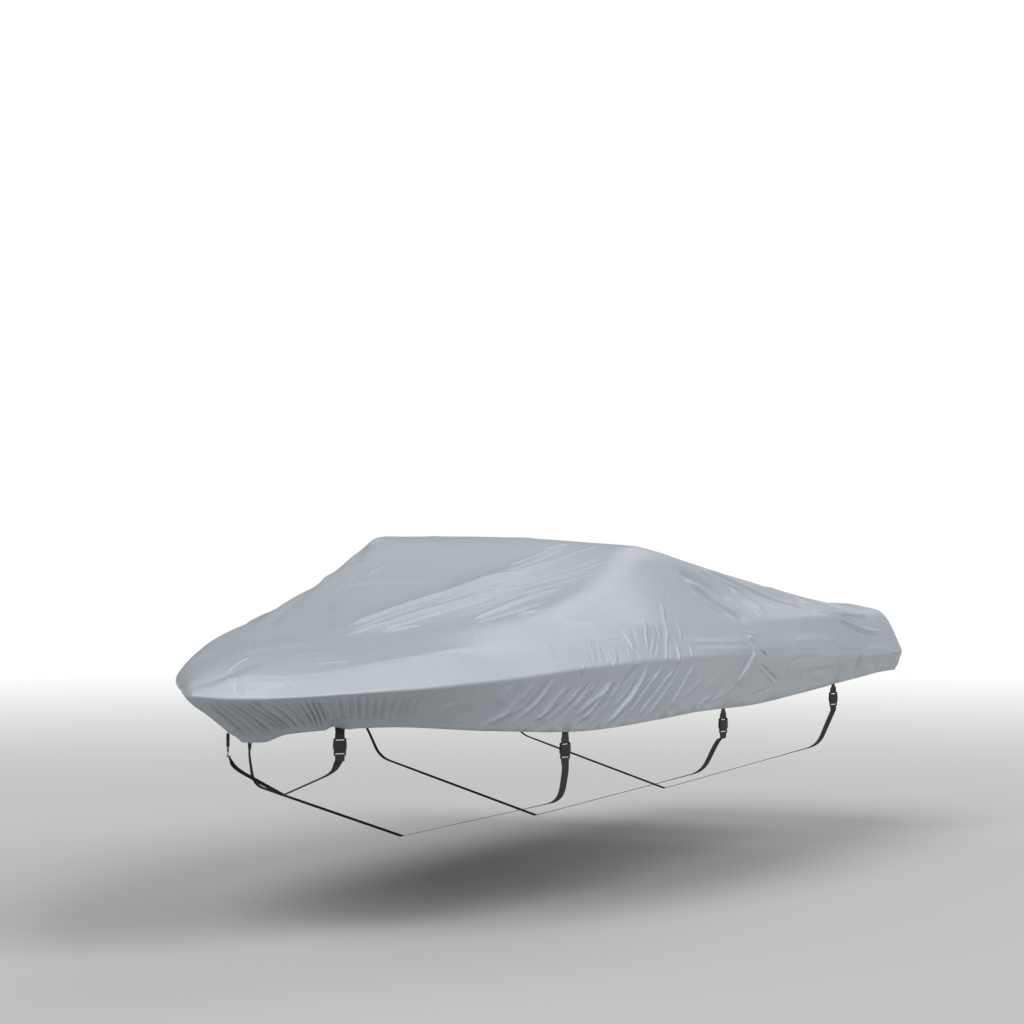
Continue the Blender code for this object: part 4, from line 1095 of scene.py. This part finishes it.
def webbing_section():
    """Closed section of the webbing: two flat faces joined by rounded edges."""
    half = WEBBING_WIDTH / 2 - WEBBING_THICKNESS / 2
    radius = WEBBING_THICKNESS / 2
    flat = np.linspace(-half, half, FACE_STEPS + 1)
    turn = np.linspace(0, math.pi, EDGE_STEPS + 1)[1:-1]
    right = [(half + radius * math.sin(t), -radius * math.cos(t)) for t in turn]
    left = [(-half - radius * math.sin(t), radius * math.cos(t)) for t in turn]
    return np.array([(x, -radius) for x in flat] + right + [(x, radius) for x in flat[::-1]] + left)


def shade_between_edges(thing, angle):
    """Smooth shading, except across edges sharper than an angle in degrees."""
    only(thing)
    bpy.ops.object.shade_smooth_by_angle(angle=math.radians(angle))


def webbing(name, route, across, material):
    """Strip of webbing along a route, its width along the across direction of each point."""
    route, across = np.array(route), np.array(across)
    ahead = unit(np.gradient(route, axis=0))
    across = unit(across - ahead * np.sum(across * ahead, axis=1, keepdims=True))
    facing = np.cross(across, ahead)
    section = webbing_section()
    rings = route[:, None] + across[:, None] * section[None, :, :1] + facing[:, None] * section[None, :, 1:]
    run = length_along(route)
    count = len(section)
    faces, places = [], []
    for i in range(len(route) - 1):
        for k in range(count):
            beside = (k + 1) % count
            faces.append((i * count + k, (i + 1) * count + k, (i + 1) * count + beside, i * count + beside))
            near, far = section[k][0], section[beside][0]
            places += [(near, run[i]), (near, run[i + 1]), (far, run[i + 1]), (far, run[i])]
    last = (len(route) - 1) * count
    faces += [tuple(range(count)), tuple(last + k for k in reversed(range(count)))]
    places += [(x, run[0]) for x, _ in section] + [(x, run[-1]) for x, _ in section[::-1]]
    mesh = bpy.data.meshes.new(name)
    mesh.from_pydata((rings.reshape(-1, 3) - REST).tolist(), [], faces)
    mesh.uv_layers.new(name="webbing").data.foreach_set("uv", np.array(places).ravel())
    mesh.materials.append(material)
    thing = placed(name, mesh)
    shade_between_edges(thing, WEBBING_EDGE_ANGLE)
    return thing


def webbing_finish():
    """Black woven polyester: ribs across the webbing, firm edges, and a little pale wear."""
    finish = Finish("woven_webbing")
    side, run = finish.parts(finish.node("ShaderNodeUVMap", {"uv_map": "webbing"}), 2)
    middle = WEBBING_WIDTH / 2 - SELVEDGE
    edge = (side > middle) + (side < -middle)
    ribs = (run * (2 * math.pi / RIB_PITCH) + side * RIB_SLANT).wave()
    cross = (side * (2 * math.pi / THREAD_PITCH)).wave()
    wear = finish.noise(finish.where(), *WEAR_NOISE)
    pale = wear * WEAR_SHARE + ribs * RIB_SHARE + edge * EDGE_SHARE
    finish.give(
        Base_Color=finish.blend(pale, WEBBING_COLOUR, WEBBING_WORN),
        Roughness=wear * WEBBING_ROUGHER + WEBBING_SMOOTHEST,
        Normal=finish.bump(ribs * cross * 0.5 + ribs * 0.5, *RIB_BUMP),
    )
    return finish.material


black_webbing = webbing_finish()
for name, place in strap_places.items():
    sewn_across, down_skirt, _ = place["sewn"]
    across, down, facing = place["buckle"]
    corner = place["seat"] + down_skirt * BELOW_HEM
    loop = loop_round_bar(place["bar"], -down, facing)
    upper = smoothed([place["seat"] - down_skirt * SEWN_LENGTH, corner, loop[-1]], BELOW_HEM, TAB_STEP)
    below = np.array([np.dot(point - corner, down) for point in upper])
    turned = eased_step(below, 0, below[-1])[:, None]
    turning = sewn_across * (1 - turned) + across * turned
    route = upper + loop[-2::-1]
    turning = np.concatenate([turning, np.repeat([across], len(loop) - 1, 0)])
    tab = webbing(f"webbing_tab_{name}", route, turning, black_webbing)
    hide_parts(f"tab_{name}")
    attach(tab, "root")

# ---- Buckle sockets -------------------------------------------------------------------------------
# The upper half of each side-release buckle, moulded in black acetal: a bar and slot for the tab, and
# a flat housing that is open below for the plug and at both sides for the plug's spring arms.
SLOT_HALF_WIDTH = 0.0205
BUCKLE_HALF_WIDTH = 0.025
BUCKLE_BELLY = 0.0265
SOCKET_HALF_DEPTH = 0.0065
SOCKET_LENGTH = 0.046
CAVITY_HALF_WIDTH = 0.019
CAVITY_HALF_DEPTH = 0.004
CAVITY_START = 0.014
WINDOW_RUN = (0.020, 0.034)
WINDOW_SIDE = (0.012, 0.032)
WINDOW_HALF_DEPTH = CAVITY_HALF_DEPTH - 0.0002
GRIP_GROOVES = 3
GRIP_START = 0.0375
GRIP_PITCH = 0.0026
GRIP_WIDTH = 0.0012
GRIP_DEPTH = 0.0005
GRIP_HALF = 0.015
CORNER_CUT = 0.002
CUT_BEYOND = 0.004
BAR_OVERLAP = 0.0005
HOUSING_ROUNDNESS = 0.0015
SLOT_ROUNDNESS = 0.0008
BAR_ROUNDNESS = 0.0006
WINDOW_ROUNDNESS = 0.0012
GRIP_ROUNDNESS = 0.0003
EDGE_SEGMENTS = 3
EDGE_ANGLE = 40
PLASTIC_EDGE_ANGLE = 35
SOCKET_HALF_WIDTHS = (
    (-BAR_HALF, BUCKLE_HALF_WIDTH - CORNER_CUT),
    (0.003, BUCKLE_HALF_WIDTH),
    (0.012, BUCKLE_HALF_WIDTH),
    (0.018, BUCKLE_BELLY),
    (0.040, BUCKLE_BELLY),
    (SOCKET_LENGTH, BUCKLE_HALF_WIDTH - CORNER_CUT),
)
PLASTIC_COLOUR = (0.0120, 0.0120, 0.0130, 1)
PLASTIC_PALE = (0.0300, 0.0300, 0.0320, 1)
GRAIN_NOISE = (2600.0, 2.0)
GRAIN_BUMP = (0.00004, 0.5)
RUB_NOISE = (120.0, 4.0, 0.6)
PLASTIC_SMOOTHEST = 0.28
PLASTIC_ROUGHER = 0.22


def block(name, stations, half_depth, roundness):
    """A cube cut across at each station and drawn to its width there, with its edges rounded."""
    first, last = stations[0][0], stations[-1][0]
    bpy.ops.object.select_all(action="DESELECT")
    bpy.ops.mesh.primitive_cube_add(
        size=1, location=(0, (first + last) / 2, 0), scale=(1, last - first, 2 * half_depth))
    thing = bpy.context.object
    thing.name = name
    bpy.ops.object.transform_apply(location=True, rotation=True, scale=True)
    bpy.ops.object.mode_set(mode="EDIT")
    for y, _, _ in stations[1:-1]:
        bpy.ops.mesh.select_all(action="SELECT")
        bpy.ops.mesh.bisect(plane_co=(0, y, 0), plane_no=(0, 1, 0))
    bpy.ops.object.mode_set(mode="OBJECT")
    for vertex in thing.data.vertices:
        _, low, high = min(stations, key=lambda row: abs(row[0] - vertex.co.y))
        vertex.co.x = low if vertex.co.x < 0 else high
    rounded = thing.modifiers.new("rounded", "BEVEL")
    rounded.width = roundness
    rounded.segments = EDGE_SEGMENTS
    rounded.limit_method = "ANGLE"
    rounded.angle_limit = math.radians(EDGE_ANGLE)
    finish_modifiers(thing)
    return thing


def even(rows):
    """Stations that are as wide on both sides of the middle."""
    return [(y, -half, half) for y, half in rows]


def combine(thing, other, operation):
    """Cuts another object away from this one, or joins it on, and clears it away."""
    only(thing)
    step = thing.modifiers.new("combine", "BOOLEAN")
    step.operation = operation
    step.object = other
    step.solver = "EXACT"
    bpy.ops.object.modifier_apply(modifier=step.name)
    bpy.data.objects.remove(other, do_unlink=True)


def about(half):
    """Both ends of a size that is even about the middle."""
    return -half, half


def cut_away(thing, x, y, z, roundness):
    """Takes a block between two values of each axis out of the object."""
    cutter = block("cutter", [(y[0], *x), (y[1], *x)], (z[1] - z[0]) / 2, roundness)
    cutter.location.z = (z[0] + z[1]) / 2
    bpy.ops.object.transform_apply(location=True, rotation=True, scale=True)
    combine(thing, cutter, "DIFFERENCE")


def thin_bar(thing, start, end, half_depth):
    """Cuts the bar between the rails down to its own thickness, on both faces."""
    beyond = half_depth + CUT_BEYOND
    for z in ((BAR_HALF, beyond), (-beyond, -BAR_HALF)):
        cut_away(thing, about(SLOT_HALF_WIDTH), (start, end), z, BAR_ROUNDNESS)


def plastic_finish():
    """Moulded black acetal: satin, with a fine grain and paler rubbed patches."""
    finish = Finish("black_acetal")
    where = finish.where()
    rub = finish.noise(where, *RUB_NOISE)
    finish.give(
        Base_Color=finish.blend(rub * rub, PLASTIC_COLOUR, PLASTIC_PALE),
        Roughness=rub * PLASTIC_ROUGHER + PLASTIC_SMOOTHEST,
        Normal=finish.bump(finish.noise(where, *GRAIN_NOISE), *GRAIN_BUMP),
    )
    return finish.material


def socket_model():
    """One socket in its own axes: X across the webbing, Y down from its bar, Z outward."""
    beyond = SOCKET_HALF_DEPTH + CUT_BEYOND
    thing = block("socket", even(SOCKET_HALF_WIDTHS), SOCKET_HALF_DEPTH, HOUSING_ROUNDNESS)
    slot_end = BAR_HALF + SLOT_LENGTH
    cut_away(thing, about(SLOT_HALF_WIDTH), (BAR_HALF, slot_end), about(beyond), SLOT_ROUNDNESS)
    thin_bar(thing, -CUT_BEYOND, slot_end - BAR_OVERLAP, SOCKET_HALF_DEPTH)
    room = (CAVITY_START, SOCKET_LENGTH + CUT_BEYOND)
    cut_away(thing, about(CAVITY_HALF_WIDTH), room, about(CAVITY_HALF_DEPTH), SLOT_ROUNDNESS)
    for side in (1, -1):
        across = sorted(side * x for x in WINDOW_SIDE)
        cut_away(thing, across, WINDOW_RUN, about(WINDOW_HALF_DEPTH), WINDOW_ROUNDNESS)
    for k in range(GRIP_GROOVES):
        y = GRIP_START + GRIP_PITCH * k
        for face in (1, -1):
            z = sorted((face * (SOCKET_HALF_DEPTH - GRIP_DEPTH), face * beyond))
            cut_away(thing, about(GRIP_HALF), (y, y + GRIP_WIDTH), z, GRIP_ROUNDNESS)
    return thing


def set_on_straps(model, kind, material):
    """A copy of the model at every station, each with a mesh of its own, and the model cleared away."""
    for name, place in strap_places.items():
        across, down, facing = place["buckle"]
        turned = Matrix((across, down, facing)).transposed().to_4x4()
        mesh = model.data.copy()
        mesh.transform(Matrix.Translation(place["bar"] - REST) @ turned)
        mesh.materials.clear()
        mesh.materials.append(material)
        thing = placed(f"buckle_{kind}_{name}", mesh)
        shade_between_edges(thing, PLASTIC_EDGE_ANGLE)
        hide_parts(f"{kind}_{name}")
        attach(thing, "root")
    bpy.data.objects.remove(model, do_unlink=True)


black_acetal = plastic_finish()
set_on_straps(socket_model(), "socket", black_acetal)

# ---- Buckle plugs ---------------------------------------------------------------------------------
# The lower half of each buckle, moulded in the same acetal: a guide and two spring arms that click
# into the socket's windows, and a frame with a bar that the strap under the hull is looped round.
PLUG_HALF_DEPTH = 0.0034
PLUG_GAP = 0.0003
PLUG_SHOULDER = SOCKET_LENGTH + PLUG_GAP
PLUG_END = PLUG_BAR_AT + BAR_HALF
NECK_START = 0.043
NECK_OVERLAP = 0.001
GUIDE_HALF_DEPTH = PLUG_HALF_DEPTH - 0.0002
ARM_HALF_DEPTH = PLUG_HALF_DEPTH - 0.0001
FRAME_ROUNDNESS = 0.0009
NECK_ROUNDNESS = 0.0005
GUIDE_ROUNDNESS = 0.0006
ARM_ROUNDNESS = 0.0005
FRAME_HALF_WIDTHS = (
    (PLUG_SHOULDER, BUCKLE_HALF_WIDTH - 0.0006),
    (PLUG_SHOULDER + 0.002, BUCKLE_HALF_WIDTH),
    (PLUG_END - 2 * CORNER_CUT, BUCKLE_HALF_WIDTH),
    (PLUG_END, BUCKLE_HALF_WIDTH - CORNER_CUT),
)
NECK_HALF_WIDTHS = (
    (NECK_START, 0.0166),
    (PLUG_SHOULDER + NECK_OVERLAP, 0.0170),
)
GUIDE_HALF_WIDTHS = (
    (0.0240, 0.0016),
    (0.0265, 0.0030),
    (NECK_START + NECK_OVERLAP, 0.0030),
)
# A spring arm: how far down each station is, and its inner and outer sides.
ARM_STATIONS = (
    (0.0206, 0.0150, 0.0200),
    (0.0238, 0.0120, 0.0228),
    (0.0270, 0.0108, 0.0248),
    (0.0330, 0.0104, 0.0250),
    (0.0336, 0.0104, 0.0186),
    (NECK_START + NECK_OVERLAP, 0.0106, 0.0172),
)


def plug_model():
    """One plug in the axes of its socket."""
    beyond = PLUG_HALF_DEPTH + CUT_BEYOND
    thing = block("plug", even(FRAME_HALF_WIDTHS), PLUG_HALF_DEPTH, FRAME_ROUNDNESS)
    slot = (PLUG_SLOT_START, PLUG_BAR_AT - BAR_HALF)
    cut_away(thing, about(SLOT_HALF_WIDTH), slot, about(beyond), SLOT_ROUNDNESS)
    thin_bar(thing, PLUG_SLOT_START + BAR_OVERLAP, PLUG_END + CUT_BEYOND, PLUG_HALF_DEPTH)
    neck = block("neck", even(NECK_HALF_WIDTHS), PLUG_HALF_DEPTH, NECK_ROUNDNESS)
    guide = block("guide", even(GUIDE_HALF_WIDTHS), GUIDE_HALF_DEPTH, GUIDE_ROUNDNESS)
    for part in (neck, guide):
        combine(thing, part, "UNION")
    for side in (1, -1):
        stations = [(y, *sorted((side * inner, side * outer))) for y, inner, outer in ARM_STATIONS]
        combine(thing, block("arm", stations, ARM_HALF_DEPTH, ARM_ROUNDNESS), "UNION")
    return thing


set_on_straps(plug_model(), "plug", black_acetal)

# ---- Straps under the hull ------------------------------------------------------------------------
# Four lengths of the same webbing, one for each pair of buckles. Each is looped round the bars of its
# two plugs, drops down the side, twists to lie on the hull, and passes under the keel.
CORNER_REACH = 0.055
RUN_STEP = 0.012
TWIST_END = 0.5


def strap_route(station, number):
    """Points of a strap from the port plug to the starboard plug, and the direction across it."""
    route, turning = [], []
    for side, side_name in SIDE_NAMES.items():
        place = strap_places[f"{side_name}_{number}"]
        across, down, facing = place["buckle"]
        bar = place["bar"] + down * PLUG_BAR_AT
        loop = loop_round_bar(bar, down, facing)
        x = bar[0]
        run = smoothed([
            loop[-1],
            (x, side * station["side_y"], station["side_z"]),
            (x, side * station["chine_y"], station["chine_z"]),
            (x, 0, station["keel_z"]),
        ], CORNER_REACH, RUN_STEP)
        turned = eased_step(np.linspace(0, 1, len(run)), 0, TWIST_END)[:, None]
        fore_and_aft = np.array([side, 0, 0])
        half = loop[:-1] + run
        half_turning = [across] * (len(loop) - 1) + list(across * (1 - turned) + fore_and_aft * turned)
        if side == STARBOARD:
            half = half[-2::-1]
            half_turning = [-way for way in half_turning[-2::-1]]
        route += half
        turning += half_turning
    return route, turning


for number, station in enumerate(named(STRAP_COLUMNS, STRAPS), 1):
    route, turning = strap_route(station, number)
    strap = webbing(f"webbing_strap_{number}", route, turning, black_webbing)
    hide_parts(f"strap_{number}")
    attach(strap, "root")

# ---- Floor, light and camera ----------------------------------------------------------------------
# A pale studio floor at the height of the ground under the trailer, white far off and greyed below the cover
# by painted shade, four broad soft lamps, and the camera off the port bow at the height of the windscreen.
FLOOR_SIZE = 400
FLOOR_PAINTED_SHADE = (0.47, 0.47, 0.475, 1)
FLOOR_FAR = (0.93, 0.93, 0.93, 1)
FLOOR_FADE = (4.0, 22.0)
FLOOR_ROUGHNESS = 0.9
BACKDROP_WHITE = 1.0
FILL_LIGHT = 0.15
LAMP_COLUMNS = ("name", "azimuth", "height", "strength")
LAMPS = (
    ("ahead", 184, 42, 2.14),
    ("port", 267, 42, 1.82),
    ("astern", 0, 42, 0.46),
    ("starboard", 90, 42, 0.28),
)
LAMP_SPREAD = 35
CAMERA_PLACE = (-10.042, -5.245, -0.033)
CAMERA_HEADING = 27.5
CAMERA_UP = 0.75
CAMERA_LENS = 88.5

bpy.ops.object.select_all(action="DESELECT")
bpy.ops.mesh.primitive_plane_add(size=FLOOR_SIZE, location=(0, 0, -REST[2]))
bpy.ops.object.transform_apply(location=True, rotation=True, scale=True)
floor = bpy.context.object
floor.name = "floor"
floor_finish = Finish("pale_floor")
# Painted shade: the floor is darker within a few metres of the cover and fades to white far off.
from_middle = floor_finish.node(
    "ShaderNodeVectorMath", {"operation": "LENGTH"}, {"Vector": floor_finish.where()}, 1)
far_off = floor_finish.node(
    "ShaderNodeMapRange", {"interpolation_type": "SMOOTHSTEP"},
    {"Value": from_middle, "From Min": FLOOR_FADE[0], "From Max": FLOOR_FADE[1]})
floor_finish.give(Base_Color=floor_finish.blend(far_off, FLOOR_PAINTED_SHADE, FLOOR_FAR), Roughness=FLOOR_ROUGHNESS)
floor.data.materials.append(floor_finish.material)

for lamp in named(LAMP_COLUMNS, LAMPS):
    light = placed(lamp["name"], bpy.data.lights.new(lamp["name"], "SUN"))
    light.data.angle = math.radians(LAMP_SPREAD)
    light.data.energy = lamp["strength"]
    light.rotation_euler = (0, math.radians(90 - lamp["height"]), math.radians(lamp["azimuth"]))

world = bpy.data.worlds.new("studio")
world.use_nodes = True
nodes, links = world.node_tree.nodes, world.node_tree.links
seen = nodes.new("ShaderNodeLightPath")
strength = nodes.new("ShaderNodeMapRange")
strength.inputs["To Min"].default_value = FILL_LIGHT
strength.inputs["To Max"].default_value = BACKDROP_WHITE
links.new(seen.outputs["Is Camera Ray"], strength.inputs["Value"])
nodes["Background"].inputs["Color"].default_value = (1, 1, 1, 1)
links.new(strength.outputs["Result"], nodes["Background"].inputs["Strength"])
bpy.context.scene.world = world
bpy.context.scene.view_settings.view_transform = "Standard"

camera = placed("camera", bpy.data.cameras.new("camera"))
camera.data.lens = CAMERA_LENS
camera.location = CAMERA_PLACE
camera.rotation_euler = (math.radians(90 + CAMERA_UP), 0, math.radians(CAMERA_HEADING - 90))
bpy.context.scene.camera = camera
